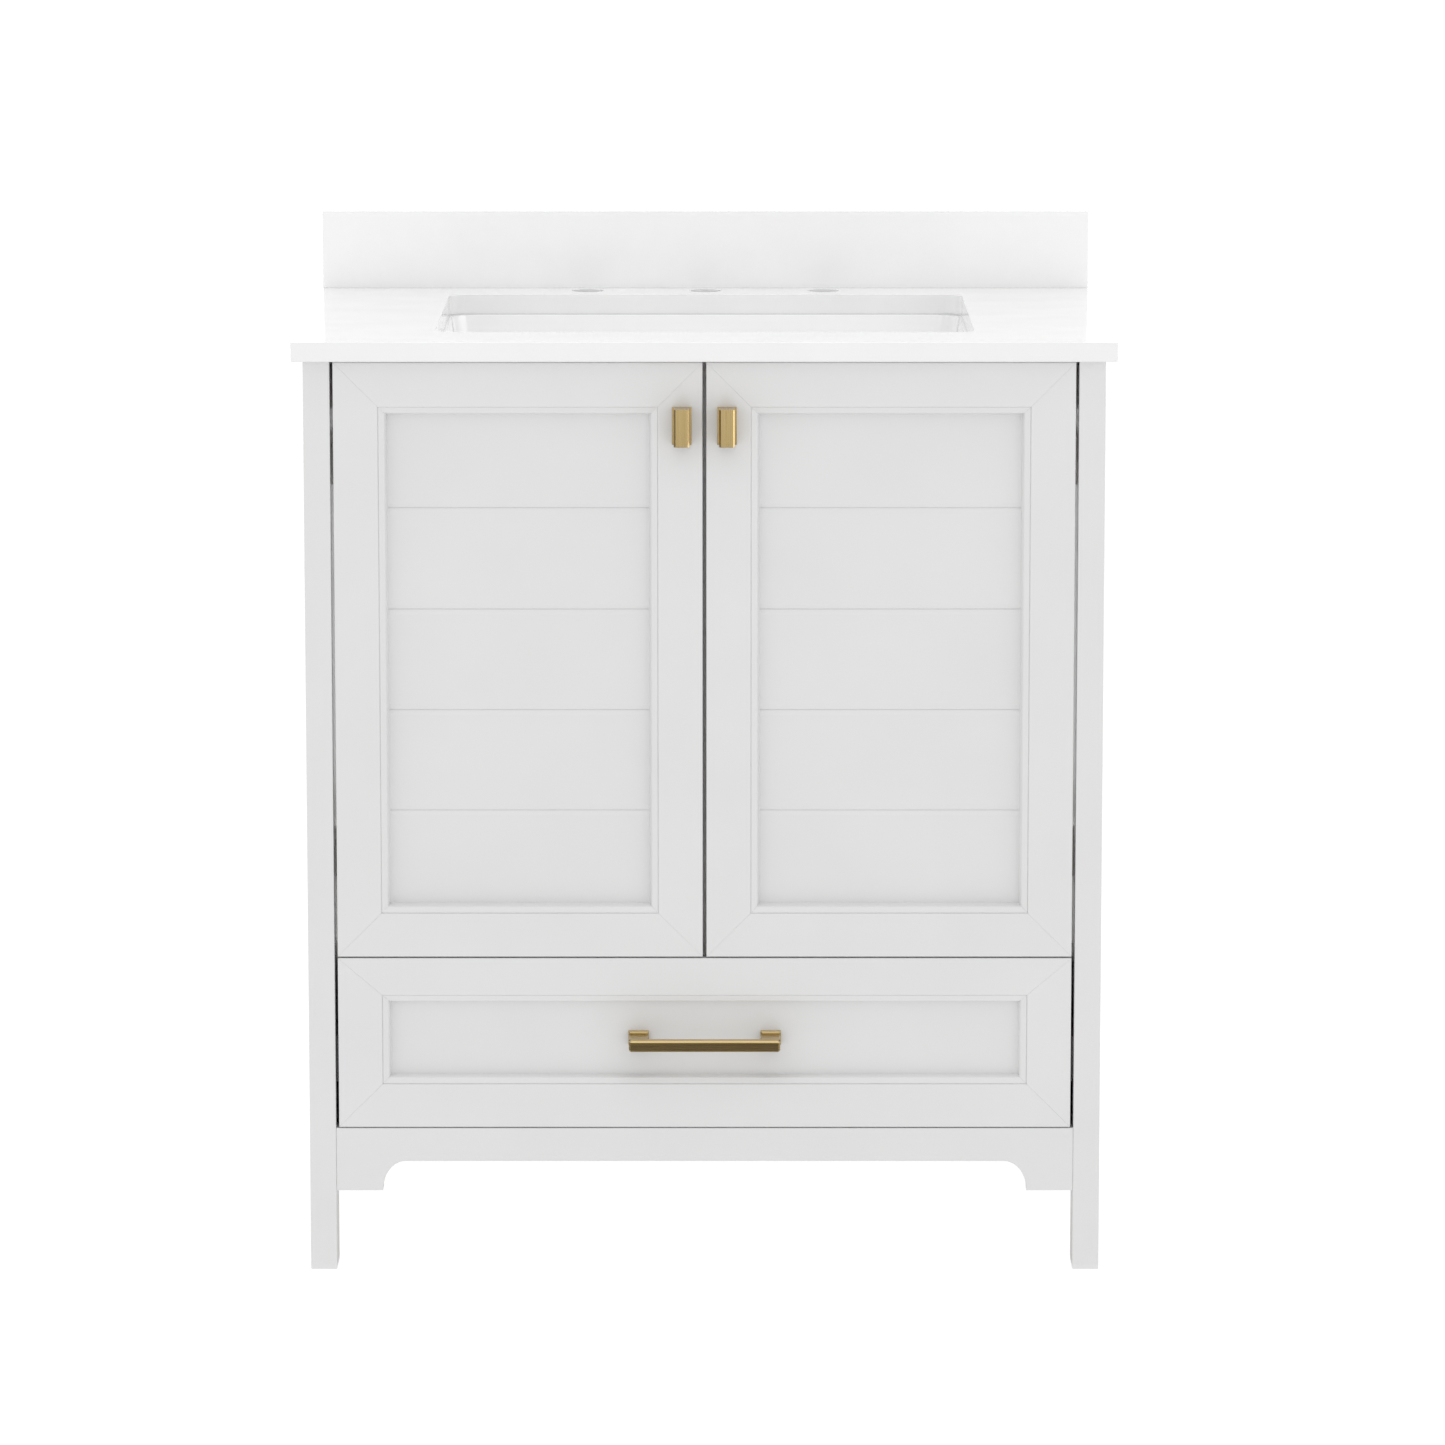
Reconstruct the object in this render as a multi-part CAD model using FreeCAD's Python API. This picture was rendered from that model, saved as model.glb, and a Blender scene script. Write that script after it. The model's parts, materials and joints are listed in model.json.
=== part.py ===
"""Freestanding bathroom vanity: painted cabinet on four legs, two plank-panelled doors over one
drawer, a stone top with an upstand and an undermount basin, concealed hinges and drawer slides.

Frame: +Z up, X to the right, -Y towards the user. The origin is on the floor, under the middle of
the whole object's width and depth. Every size is in millimetres.
"""
import math
import os

import FreeCAD
import Part

V = FreeCAD.Vector
parts = {}

# ---------------------------------------------------------------- overall sizes
body_width = 766.0
body_depth = 547.0
body_height = 888.0

# stone top
counter_side_overhang = 10.5
counter_front_overhang = 12.0
counter_thickness = 19.0
backsplash_height = 79.5
backsplash_thickness = 19.0
stone_edge_round = 1.5
faucet_hole_radius = 16.0
faucet_hole_spacing = 120.5
faucet_hole_setback = 48.0        # hole centre to the rear edge of the top

# basin and its cut-out in the top
cutout_width = 521.0
rail_to_flange_gap = 1.785        # front rail to the basin's flange
cutout_rear_margin = 92.0         # cut-out to the rear edge of the top
cutout_corner = 18.0
bowl_reveal = 2.5                 # how far the bowl's rim shows inside the cut-out
bowl_corner = 30.0
bowl_depth = 150.0
bowl_wall = 10.0
bowl_draft = 22.0                 # how far each wall leans in from rim to floor
bowl_floor_round = 24.0
basin_flange = 25.0
basin_flange_thickness = 12.0
sealant_thickness = 1.0
sealant_setback = 2.0             # from the flange's rim and from the cut-out
clip_width = 22.0
clip_thickness = 2.5
clip_hold = 12.0                  # how far each clip reaches under the flange
clip_pad_radius = 7.0
clip_pad_thickness = 2.0
clip_pad_margin = 3.0             # clear round the pad, to the flange and to the heel
clip_stud_radius = 3.0
clip_nut_radius = 5.5
clip_nut_height = 5.0
rear_clip_spread = 195.0          # rear clips to the middle, outside the faucet holes
drain_radius = 22.5
drain_boss_radius = 34.0
drain_boss_drop = 10.0
overflow_width = 34.0
overflow_height = 9.0
overflow_below_rim = 32.0
overflow_duct = 9.0               # clear depth of the passage behind the front wall
overflow_shell = 7.0
overflow_run_width = 22.0         # of the passage under the bowl, up to the drain

# legs, sides and rails
leg_width = 25.5
leg_back_lap = 3.785              # how far a leg reaches behind the front rail's face
leg_edge_round = 1.0
side_recess = 10.0                # side panels lie this far inside the legs' outer faces
side_bottom = 78.5
apron_bottom = 78.5
apron_height = 62.1
apron_thickness = 18.0
apron_setback = 0.5
apron_foot = 45.0                 # flat end of the apron before the arch
arch_rise = 29.0
arch_run = 22.0                   # width of the quarter ellipse at each end of the arch
panel_thickness = 15.0
bottom_panel_drop = 3.0           # its top lies this far under the apron's top
floor_lap = 6.5                   # how far the compartment floor rises behind the doors
rail_thickness = 18.0
top_rail_front_height = 50.0
top_rail_back_height = 100.0
back_rail_height = 70.0
back_panel_thickness = 5.0
back_panel_setback = 10.0
corner_block_size = 55.0
corner_block_height = 20.0
center_stile_width = 40.0
wall_hole_radius = 2.5
wall_hole_spacing = 406.4
wall_hole_drop = 50.0             # below the top of the body

# doors and drawer front
front_thickness = 20.0
front_edge_round = 1.0
leg_swing_clearance = 0.285       # between a door's front corner and the leg as it turns
center_gap = 3.6
top_gap = 1.5
drawer_bottom_gap = 1.0
drawer_front_height = 166.8
door_drawer_gap = 1.4
stop_clearance = 2.0              # behind the closed doors, up to what stops them
swing_clearance = 1.0             # round the doors' hinge edges as they turn
frame_flat = 42.5
drawer_top_flat = 36.2
moulding_width = 9.0
moulding_step = 1.2
moulding_shelf = 5.5
moulding_slope = 3.2              # fall of the sloping band across the shelf
moulding_depth = 16.0
tongue_clearance = 1.0
plank_count = 5
plank_crown_recess = 13.0
plank_edge_recess = 15.4
drawer_panel_recess = 11.0
panel_fit = 0.1
mitre_groove_half = 0.3           # half the width of the fine groove along each mitre

# handles
knob_width = 18.6
knob_height = 35.9
knob_plate = 5.0
knob_face_width = 15.0
knob_projection = 27.0
knob_edge_chamfer = 1.6
knob_plate_edge_chamfer = 0.7
knob_screw_depth = 12.0           # into the knob, from the door's front face
knob_from_meeting_edge = 19.8
knob_from_door_top = 60.5
pull_spacing = 128.0
pull_length = 146.0
pull_projection = 38.0
pull_bar_height = 11.0
pull_bar_depth = 12.0
pull_plate_width = 19.7
pull_plate_height = 13.8
pull_plate = 5.0
pull_arm_width = 18.0
pull_edge_chamfer = 1.8
pull_arm_edge_round = 1.3
pull_screw_depth = 10.0           # past the plate, into the pull

# hinges
hinge_from_end = 97.0
pin_from_edge = 23.0
pin_from_back = 8.5               # pin to the door's back face
pin_radius = 2.0
pin_play = 0.05
cup_radius = 17.5
cup_depth = 13.5
cup_wall = 0.8
cup_flange_width = 46.0
cup_flange_height = 62.0
cup_flange_thickness = 1.2
cup_screw_spacing = 48.0
knuckle_radius = 3.8
arm_height = 14.0
arm_thickness = 3.0
arm_leave_angle = 40.0            # from the door's plane, as it leaves the cup
arm_reach = 31.5
arm_back = 33.0                   # pin to the arm's crossing behind the door's edge
plate_thickness = 8.0
plate_start = 26.0                # pin to the front of the plate
plate_length = 54.0
plate_height = 50.0
plate_screw_spacing = 32.0
arm_seat_thickness = 5.0
arm_bend_back = 1.0               # the arm's second bend, short of its crossing both ways
arm_seat_start = 3.0              # from the crossing to where the arm lies on its seat
plate_corner = 2.0
plate_screw_from_end = 14.0
cup_flange_lap = 2.0              # of the flange, round the cup on the door's edge side
cup_flange_corner = 6.0
hinge_screw_length = 12.0

# drawer box and slides
slide_width = 12.7
slide_end_margin = 4.0            # the slides end this far before the drawer box does
slide_height = 45.0
slide_sheet = 1.2
slide_center_z = 205.0
slide_play = 1.7
drawer_side_thickness = 12.0
drawer_side_height = 120.0
drawer_side_bottom = 152.0
drawer_back_clearance = 59.0      # drawer box to the cabinet's back panel
drawer_bottom_thickness = 5.0
drawer_bottom_rise = 12.0
drawer_groove = 6.0
drawer_groove_play = 0.5          # bottom panel's edge to the end of its groove
front_screw_depth = 5.0           # into the drawer front's back
front_screw_from_side = 18.0
front_screw_from_bottom = 27.0
front_screw_from_top = 18.0
slide_screw_depth = 9.0
slide_screw_head = 1.0
slide_screw_shares = (0.12, 0.5, 0.88)      # of the slide's length, from the front

# fasteners
dowel_radius = 4.0
dowel_length = 30.0
short_dowel_length = 20.0
dowel_play = 0.05
dowel_end_gap = 0.5
apron_dowel_margin = 14.0         # from a board's edge to its outer dowels
front_rail_dowels = (14.0, 36.0)  # down from the rail's top
rear_rail_dowels = (20.0, 80.0)
lower_rail_dowel_margin = 18.0
side_dowel_shares = (0.1, 0.5, 0.9)         # of the side panel's height
panel_dowel_shares = (0.2, 0.8)             # of the side panel's depth
screw_radius = 1.9
screw_head_radius = 3.8
screw_head_height = 2.0
screw_play = 0.05
machine_screw_radius = 2.0
screw_end_gap = 1.0               # a machine screw's end to the end of its hole
bumper_radius = 5.0
bumper_gap = 0.3

# ---------------------------------------------------------------- places worked out from the sizes
front_reach = max(knob_projection, counter_front_overhang,
                  pull_projection - drawer_panel_recess)
rear_y = (front_reach + body_depth) / 2
front_y = rear_y - body_depth
half_width = body_width / 2
inner_x = half_width - leg_width            # inner faces of legs and side panels
counter_half = half_width + counter_side_overhang
counter_front_y = front_y - counter_front_overhang
counter_top_z = body_height + counter_thickness
front_back_y = front_y + front_thickness    # back faces of doors and drawer front
stop_y = front_back_y + stop_clearance

pin_from_face = front_thickness - pin_from_back
swing_radius = math.hypot(pin_from_edge, max(pin_from_face, pin_from_back))
side_gap = swing_radius - pin_from_edge + leg_swing_clearance

apron_top = apron_bottom + apron_height
drawer_bottom_z = apron_top + drawer_bottom_gap
drawer_top_z = drawer_bottom_z + drawer_front_height
door_bottom_z = drawer_top_z + door_drawer_gap
door_top_z = body_height - top_gap
floor_top_z = door_bottom_z + floor_lap
bottom_panel_top = apron_top - bottom_panel_drop
front_edge_x = inner_x - side_gap           # outer edges of doors and drawer front
meeting_x = center_gap / 2
back_panel_y = rear_y - back_panel_setback - back_panel_thickness
drawer_box_depth = back_panel_y - drawer_back_clearance - front_back_y
slide_length = drawer_box_depth - slide_end_margin + front_back_y - stop_y

pin_x = front_edge_x - pin_from_edge
pin_y = front_y + pin_from_face
swing_y = pin_y + swing_radius + swing_clearance       # nothing that the hinge edge meets is ahead
stop_half_width = pin_x - swing_radius - swing_clearance
leg_depth = swing_y - front_y + leg_back_lap

cutout_front_y = swing_y + rail_thickness + rail_to_flange_gap + basin_flange
cutout_depth = rear_y - cutout_rear_margin - cutout_front_y
cutout_mid_y = cutout_front_y + cutout_depth / 2
rim_z = body_height - sealant_thickness
bowl_floor_z = rim_z - bowl_depth

hinge_heights = (door_bottom_z + hinge_from_end, door_top_z - hinge_from_end)


# ---------------------------------------------------------------- helpers
def block(x0, x1, y0, y1, z0, z1):
    return Part.makeBox(x1 - x0, y1 - y0, z1 - z0, V(x0, y0, z0))


def rod(radius, start, direction, length):
    return Part.makeCylinder(radius, length, start, direction)


def prism(points, push):
    """A closed outline of vectors, pushed along a vector."""
    wire = Part.makePolygon(list(points) + [points[0]])
    return Part.Face(wire).extrude(push)


def along(shape, axis, tolerance=1e-6):
    """The straight edges of a shape that run along an axis."""
    found = []
    for edge in shape.Edges:
        ends = [v.Point for v in edge.Vertexes]
        if len(ends) == 2 and abs((ends[1] - ends[0]).normalize().dot(axis)) > 1 - tolerance:
            found.append(edge)
    return found


def eased(shape, radius, axes):
    """The shape with its edges along these axes rounded over."""
    edges = [e for axis in axes for e in along(shape, axis)]
    return shape.makeFillet(radius, edges)


def front_edges(shape, y, margin=1.0):
    """The edges that lie wholly in front of a plane, by more than a margin."""
    return [e for e in shape.Edges if all(v.Y < y - margin for v in e.Vertexes)]


def rounded_outline(width, depth, corner, z, mid_y):
    """A closed wire: a rectangle with round corners, centred on X at mid_y."""
    hx, hy, k = width / 2, depth / 2, corner
    bulge = k * (1 - math.sqrt(0.5))
    edges = []
    for sx, sy in ((1, 1), (-1, 1), (-1, -1), (1, -1)):
        first, last = V(sx * hx, mid_y + sy * (hy - k), z), V(sx * (hx - k), mid_y + sy * hy, z)
        middle = V(sx * (hx - bulge), mid_y + sy * (hy - bulge), z)
        if sx * sy < 0:
            first, last = last, first
        edges.append(Part.Arc(first, middle, last).toShape())
    joined = []
    for i, arc in enumerate(edges):
        following = edges[(i + 1) % 4]
        joined.append(arc)
        joined.append(Part.makeLine(arc.Vertexes[-1].Point, following.Vertexes[0].Point))
    return Part.Wire(Part.__sortEdges__(joined))


def mirrored(shape):
    return shape.mirror(V(0, 0, 0), V(1, 0, 0))


def bore(names, cutter):
    for name in names:
        parts[name] = parts[name].cut(cutter)


def add_pair(left_name, right_name, left_shape):
    parts[left_name] = left_shape
    parts[right_name] = mirrored(left_shape)


def group(solids):
    return Part.makeCompound(solids)


# ---------------------------------------------------------------- legs, sides, rails
def make_legs():
    for row, y0 in (("front", front_y), ("rear", rear_y - leg_depth)):
        leg = block(-half_width, -inner_x, y0, y0 + leg_depth, 0, body_height)
        add_pair(f"leg_{row}_left", f"leg_{row}_right", eased(leg, leg_edge_round, [V(0, 0, 1)]))


def make_side_panels():
    panel = block(-half_width + side_recess, -inner_x, front_y + leg_depth, rear_y - leg_depth,
                  side_bottom, body_height)
    add_pair("side_panel_left", "side_panel_right", panel)


def make_apron():
    """Front board under the drawer, with an arch that ends in a quarter ellipse at each foot."""
    y0 = front_y + apron_setback
    board = block(-inner_x, inner_x, y0, y0 + apron_thickness, apron_bottom, apron_top)
    spring_x = inner_x - apron_foot
    flat_x = spring_x - arch_run
    arch_top = apron_bottom + arch_rise
    curve = Part.Ellipse(V(0, 0, 0), max(arch_rise, arch_run), min(arch_rise, arch_run))
    turned = FreeCAD.Placement(V(flat_x, y0, apron_bottom), FreeCAD.Rotation(V(1, 0, 0), 90))
    if arch_rise > arch_run:
        turned = turned.multiply(FreeCAD.Placement(V(0, 0, 0), FreeCAD.Rotation(V(0, 0, 1), 90)))
    end = Part.Face(Part.Wire(curve.toShape()))
    end.Placement = turned
    end = end.extrude(V(0, apron_thickness, 0))
    opening = block(-flat_x, flat_x, y0, y0 + apron_thickness, apron_bottom - arch_rise, arch_top)
    opening = opening.fuse([end, mirrored(end)])
    parts["apron"] = board.cut(opening).removeSplitter()


def make_panels():
    floor_y0 = front_y + apron_setback + apron_thickness
    parts["bottom_panel"] = block(-inner_x, inner_x, floor_y0, back_panel_y,
                                  bottom_panel_top - panel_thickness, bottom_panel_top)
    low = floor_top_z - panel_thickness
    main = block(-inner_x, inner_x, swing_y, back_panel_y, low, floor_top_z)
    stop = block(-stop_half_width, stop_half_width, stop_y, swing_y, low, floor_top_z)
    parts["compartment_floor"] = main.fuse(stop).removeSplitter()
    parts["back_panel"] = block(-inner_x, inner_x, back_panel_y, back_panel_y + back_panel_thickness,
                                bottom_panel_top - panel_thickness, floor_top_z)


def make_rails():
    low = body_height - top_rail_front_height
    rail = block(-inner_x, inner_x, swing_y, swing_y + rail_thickness, low, body_height)
    stop = block(-stop_half_width, stop_half_width, stop_y, swing_y, low, body_height)
    parts["top_rail_front"] = rail.fuse(stop).removeSplitter()
    parts["top_rail_back"] = block(-inner_x, inner_x, rear_y - rail_thickness, rear_y,
                                   body_height - top_rail_back_height, body_height)
    parts["back_rail_lower"] = block(-inner_x, inner_x, rear_y - rail_thickness, rear_y,
                                     floor_top_z, floor_top_z + back_rail_height)
    parts["center_stile"] = block(-center_stile_width / 2, center_stile_width / 2, stop_y, swing_y,
                                  floor_top_z, body_height - top_rail_front_height)
    for side in (-1, 1):
        hole = rod(wall_hole_radius, V(side * wall_hole_spacing / 2, rear_y - rail_thickness,
                                       body_height - wall_hole_drop), V(0, 1, 0), rail_thickness)
        bore(["top_rail_back"], hole)


def make_corner_blocks():
    """Triangular blocks that tie the rails to the sides and carry the stone top."""
    z0 = body_height - corner_block_height
    size = corner_block_size
    blocks = []
    for corner_y, into in ((swing_y + rail_thickness, 1), (rear_y - rail_thickness, -1)):
        outline = [V(-inner_x, corner_y, z0), V(-inner_x + size, corner_y, z0),
                   V(-inner_x, corner_y + into * size, z0)]
        triangle = prism(outline, V(0, 0, corner_block_height))
        blocks += [triangle, mirrored(triangle)]
    parts["corner_blocks"] = group(blocks)


# ---------------------------------------------------------------- stone top and basin
def make_countertop():
    slab = block(-counter_half, counter_half, counter_front_y, rear_y, body_height, counter_top_z)
    slab = eased(slab, stone_edge_round, [V(0, 0, 1)])
    top_edges = [e for e in slab.Edges
                 if all(abs(v.Z - counter_top_z) < 1e-6 for v in e.Vertexes)
                 and e.BoundBox.YMin < rear_y - 2 * stone_edge_round]
    slab = slab.makeFillet(stone_edge_round, top_edges)
    opening = Part.Face(rounded_outline(cutout_width, cutout_depth, cutout_corner, body_height,
                                        cutout_mid_y)).extrude(V(0, 0, counter_thickness))
    slab = slab.cut(opening)
    for k in (-1, 0, 1):
        slab = slab.cut(rod(faucet_hole_radius, V(k * faucet_hole_spacing, rear_y - faucet_hole_setback,
                                                  body_height), V(0, 0, 1), counter_thickness))
    parts["countertop"] = slab


def make_backsplash():
    strip = block(-counter_half, counter_half, rear_y - backsplash_thickness, rear_y, counter_top_z,
                  counter_top_z + backsplash_height)
    strip = eased(strip, stone_edge_round, [V(0, 0, 1)])
    top = counter_top_z + backsplash_height
    strip = strip.makeFillet(stone_edge_round, [e for e in strip.Edges
                                                if all(abs(v.Z - top) < 1e-6 for v in e.Vertexes)])
    parts["backsplash"] = strip


def bowl_body(grow, rim, floor, corner, floor_round):
    """A drafted bowl-shaped solid from rim level down to floor level."""
    width, depth = cutout_width - 2 * bowl_reveal, cutout_depth - 2 * bowl_reveal
    top = rounded_outline(width + 2 * grow, depth + 2 * grow, corner + grow, rim, cutout_mid_y)
    lean = 2 * bowl_draft
    low = rounded_outline(width - lean + 2 * grow, depth - lean + 2 * grow, corner + grow, floor,
                          cutout_mid_y)
    body = Part.makeLoft([top, low], True, True)
    low_edges = [e for e in body.Edges if all(abs(v.Z - floor) < 1e-6 for v in e.Vertexes)]
    return body.makeFillet(floor_round, low_edges)


def make_basin():
    """Undermount ceramic basin with a flange, a drain boss and an overflow passage in front."""
    inner = bowl_body(0, rim_z, bowl_floor_z, bowl_corner, bowl_floor_round)
    outer = bowl_body(bowl_wall, rim_z, bowl_floor_z - bowl_wall, bowl_corner,
                      bowl_floor_round + bowl_wall / 2)
    flange_width = cutout_width + 2 * basin_flange
    flange_depth = cutout_depth + 2 * basin_flange
    flange = Part.Face(rounded_outline(flange_width, flange_depth, basin_flange + cutout_corner, rim_z,
                                       cutout_mid_y)).extrude(V(0, 0, -basin_flange_thickness))
    boss_bottom = bowl_floor_z - bowl_wall - drain_boss_drop
    boss = rod(drain_boss_radius, V(0, cutout_mid_y, boss_bottom), V(0, 0, 1),
               drain_boss_drop + bowl_wall / 2)
    bowl_front_y = cutout_front_y + bowl_reveal
    duct_y0 = bowl_front_y - bowl_wall / 2 - overflow_duct
    shell_half = overflow_width / 2 + overflow_shell
    duct_top = rim_z - overflow_below_rim + overflow_height / 2
    passage_low = boss_bottom + overflow_shell / 2
    casing = block(-shell_half, shell_half, duct_y0 - overflow_shell, cutout_front_y + bowl_wall,
                   boss_bottom, duct_top + overflow_shell)
    under = block(-shell_half, shell_half, cutout_front_y, cutout_mid_y, boss_bottom, bowl_floor_z)
    body = outer.fuse([flange, boss, casing, under]).cut(inner)
    half = overflow_width / 2
    down = block(-half, half, duct_y0, duct_y0 + overflow_duct, passage_low, duct_top)
    slot = block(-half, half, duct_y0, bowl_front_y + bowl_draft, duct_top - overflow_height, duct_top)
    run_half = overflow_run_width / 2
    across = block(-run_half, run_half, duct_y0, cutout_mid_y - drain_radius / 2, passage_low,
                   bowl_floor_z - bowl_wall / 2)
    slot = eased(slot, overflow_height / 2 - 0.1, [V(0, 1, 0)])
    body = body.cut(down).cut(slot).cut(across)
    drain = rod(drain_radius, V(0, cutout_mid_y, boss_bottom), V(0, 0, 1), bowl_depth)
    parts["sink_basin"] = body.cut(drain).removeSplitter()


def make_sealant():
    """Silicone bead between the basin's flange and the underside of the stone."""
    wide, inset = basin_flange - sealant_setback, sealant_setback
    outer = rounded_outline(cutout_width + 2 * wide, cutout_depth + 2 * wide, cutout_corner + wide,
                            rim_z, cutout_mid_y)
    inner = rounded_outline(cutout_width + 2 * inset, cutout_depth + 2 * inset, cutout_corner + inset,
                            rim_z, cutout_mid_y)
    ring = Part.Face(outer).cut(Part.Face(inner))
    parts["sink_sealant"] = ring.Faces[0].extrude(V(0, 0, sealant_thickness))


def make_sink_clips():
    """Six clips that hold the flange up, two at each side and two at the back: a stepped strap on a
    stud that is glued to the stone, with its nut."""
    flange_low = rim_z - basin_flange_thickness
    strap_low = flange_low - clip_thickness
    places = [(90 * turn, reach, shift)
              for turn, reach, spread in ((0, cutout_width / 2, cutout_depth / 4),
                                          (2, cutout_width / 2, cutout_depth / 4),
                                          (1, cutout_depth / 2, rear_clip_spread))
              for shift in (-spread, spread)]
    solids = []
    for angle, reach, shift in places:
        edge = reach + basin_flange
        stud_at = edge + clip_pad_radius + clip_pad_margin
        tail = stud_at + clip_pad_radius + clip_pad_margin
        half = clip_width / 2
        arm = block(edge - clip_hold, tail, shift - half, shift + half, strap_low, flange_low)
        heel = block(tail - clip_thickness, tail, shift - half, shift + half, flange_low, body_height)
        at = V(stud_at, shift, 0)
        up = V(0, 0, 1)
        hole = rod(clip_stud_radius + screw_play, at + up * strap_low, up, clip_thickness)
        clip = arm.fuse(heel).removeSplitter().cut(hole)
        pad = rod(clip_pad_radius, at + up * (body_height - clip_pad_thickness), up,
                  clip_pad_thickness)
        stud_low = strap_low - 2 * clip_nut_height
        stud = rod(clip_stud_radius, at + up * stud_low, up, body_height - stud_low)
        nut = rod(clip_nut_radius, at + up * (strap_low - clip_nut_height), up, clip_nut_height)
        bolt = pad.fuse([stud, nut]).removeSplitter()
        for solid in (clip, bolt):
            solid.rotate(V(0, 0, 0), up, angle)
            solid.translate(V(0, cutout_mid_y, 0))
            solids.append(solid)
    parts["sink_clips"] = group(solids)


# ---------------------------------------------------------------- mitred frames
def moulding_outline(flat):
    """Cross-section of a frame member as (u, v): u grows towards the opening from the moulding's
    outer line, v grows from the front face to the back."""
    lip_u = moulding_width
    shelf_v = moulding_step + moulding_slope
    r = front_edge_round
    return [
        ("line", (-flat + r, 0.0)),
        ("line", (0.0, 0.0)),
        ("line", (0.0, moulding_step)),
        ("line", (moulding_shelf, shelf_v)),
        ("arc", (moulding_shelf + 1.2, shelf_v + 1.2), (moulding_shelf + 1.8, shelf_v + 3.0)),
        ("line", (lip_u, moulding_depth)),
        ("line", (0.0, moulding_depth)),
        ("line", (0.0, front_thickness)),
        ("line", (-flat, front_thickness)),
        ("line", (-flat, r)),
        ("arc", (-flat + r * (1 - math.sqrt(0.5)), r * (1 - math.sqrt(0.5))), (-flat + r, 0.0)),
    ]


def outline_face(steps, place):
    """A face from line and arc steps in (u, v), set in space by place(u, v)."""
    edges = []
    last = steps[0][-1]
    for step in steps[1:]:
        end = step[-1]
        if step[0] == "line":
            edges.append(Part.makeLine(place(*last), place(*end)))
        else:
            edges.append(Part.Arc(place(*last), place(*step[1]), place(*end)).toShape())
        last = end
    return Part.Face(Part.Wire(edges))


def mitre_groove(outer, line):
    """A fine V-shaped cutter along the joint between two members, on the front face."""
    run = V(line[0] - outer[0], 0, line[1] - outer[1])
    across = V(-run.z, 0, run.x).normalize() * mitre_groove_half
    start = V(outer[0], front_y, outer[1]) - run * 0.1
    return prism([start - across, start + across, start + V(0, mitre_groove_half, 0)], run * 1.1)


def frame_member(side, x0, x1, z0, z1, flats):
    """One member of a mitred frame: its profile run along the side, cut to the mitred footprint."""
    left, right, bottom, top = (flats[k] for k in ("left", "right", "bottom", "top"))
    m = moulding_width
    outer = [(x0, z0), (x1, z0), (x1, z1), (x0, z1)]
    line = [(x0 + left, z0 + bottom), (x1 - right, z0 + bottom), (x1 - right, z1 - top),
            (x0 + left, z1 - top)]
    inner = [(x0 + left + m, z0 + bottom + m), (x1 - right - m, z0 + bottom + m),
             (x1 - right - m, z1 - top - m), (x0 + left + m, z1 - top - m)]
    first = {"bottom": 0, "right": 1, "top": 2, "left": 3}[side]
    second = (first + 1) % 4
    corners = [outer[first], outer[second], line[second], inner[second], inner[first], line[first]]
    footprint = prism([V(x, front_y, z) for x, z in corners], V(0, front_thickness, 0))
    if side in ("left", "right"):
        sign, edge = (1, x0 + left) if side == "left" else (-1, x1 - right)
        flat = left if side == "left" else right
        face = outline_face(moulding_outline(flat), lambda u, v: V(edge + sign * u, front_y + v, z0))
        bar = face.extrude(V(0, 0, z1 - z0))
    else:
        sign, edge = (1, z0 + bottom) if side == "bottom" else (-1, z1 - top)
        flat = bottom if side == "bottom" else top
        face = outline_face(moulding_outline(flat), lambda u, v: V(x0, front_y + v, edge + sign * u))
        bar = face.extrude(V(x1 - x0, 0, 0))
    member = bar.common(footprint)
    return member.cut([mitre_groove(outer[k], line[k]) for k in (first, second)])


def frame_flats(outer, inner):
    return {"left": outer, "right": inner, "top": frame_flat, "bottom": frame_flat}


def make_door_frames():
    x0, x1 = -front_edge_x, -meeting_x
    flats = frame_flats(frame_flat, frame_flat)
    names = {"left": "stile_hinge", "right": "stile_meeting", "top": "rail_top", "bottom": "rail_bottom"}
    for side, name in names.items():
        member = frame_member(side, x0, x1, door_bottom_z, door_top_z, flats)
        add_pair(f"door_left_{name}", f"door_right_{name}", member)


def make_door_planks():
    """Five crowned planks per door. Their thin ends and outer edges lie behind the moulding."""
    reach = moulding_width - tongue_clearance
    open_x0 = -front_edge_x + frame_flat + moulding_width
    open_x1 = -meeting_x - frame_flat - moulding_width
    open_z0 = door_bottom_z + frame_flat + moulding_width
    open_z1 = door_top_z - frame_flat - moulding_width
    x0, x1, z0, z1 = open_x0 - reach, open_x1 + reach, open_z0 - reach, open_z1 + reach
    pitch = (z1 - z0) / plank_count
    tongue_y = front_y + moulding_depth + panel_fit
    lips = block(x0, x1, front_y, tongue_y, z0, z1)
    lips = lips.cut(block(open_x0 + panel_fit, open_x1 - panel_fit, front_y, tongue_y,
                          open_z0 + panel_fit, open_z1 - panel_fit))
    planks = []
    for i in range(plank_count):
        low, high = z0 + i * pitch, z0 + (i + 1) * pitch
        edge_y, crown_y = front_y + plank_edge_recess, front_y + plank_crown_recess
        face = [Part.Arc(V(x0, edge_y, low), V(x0, crown_y, (low + high) / 2),
                         V(x0, edge_y, high)).toShape(),
                Part.makeLine(V(x0, edge_y, high), V(x0, front_back_y, high)),
                Part.makeLine(V(x0, front_back_y, high), V(x0, front_back_y, low)),
                Part.makeLine(V(x0, front_back_y, low), V(x0, edge_y, low))]
        plank = Part.Face(Part.Wire(face)).extrude(V(x1 - x0, 0, 0))
        planks.append(plank.cut(lips))
    left = group(planks)
    parts["door_left_planks"] = left
    parts["door_right_planks"] = group([mirrored(p) for p in planks])


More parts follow.
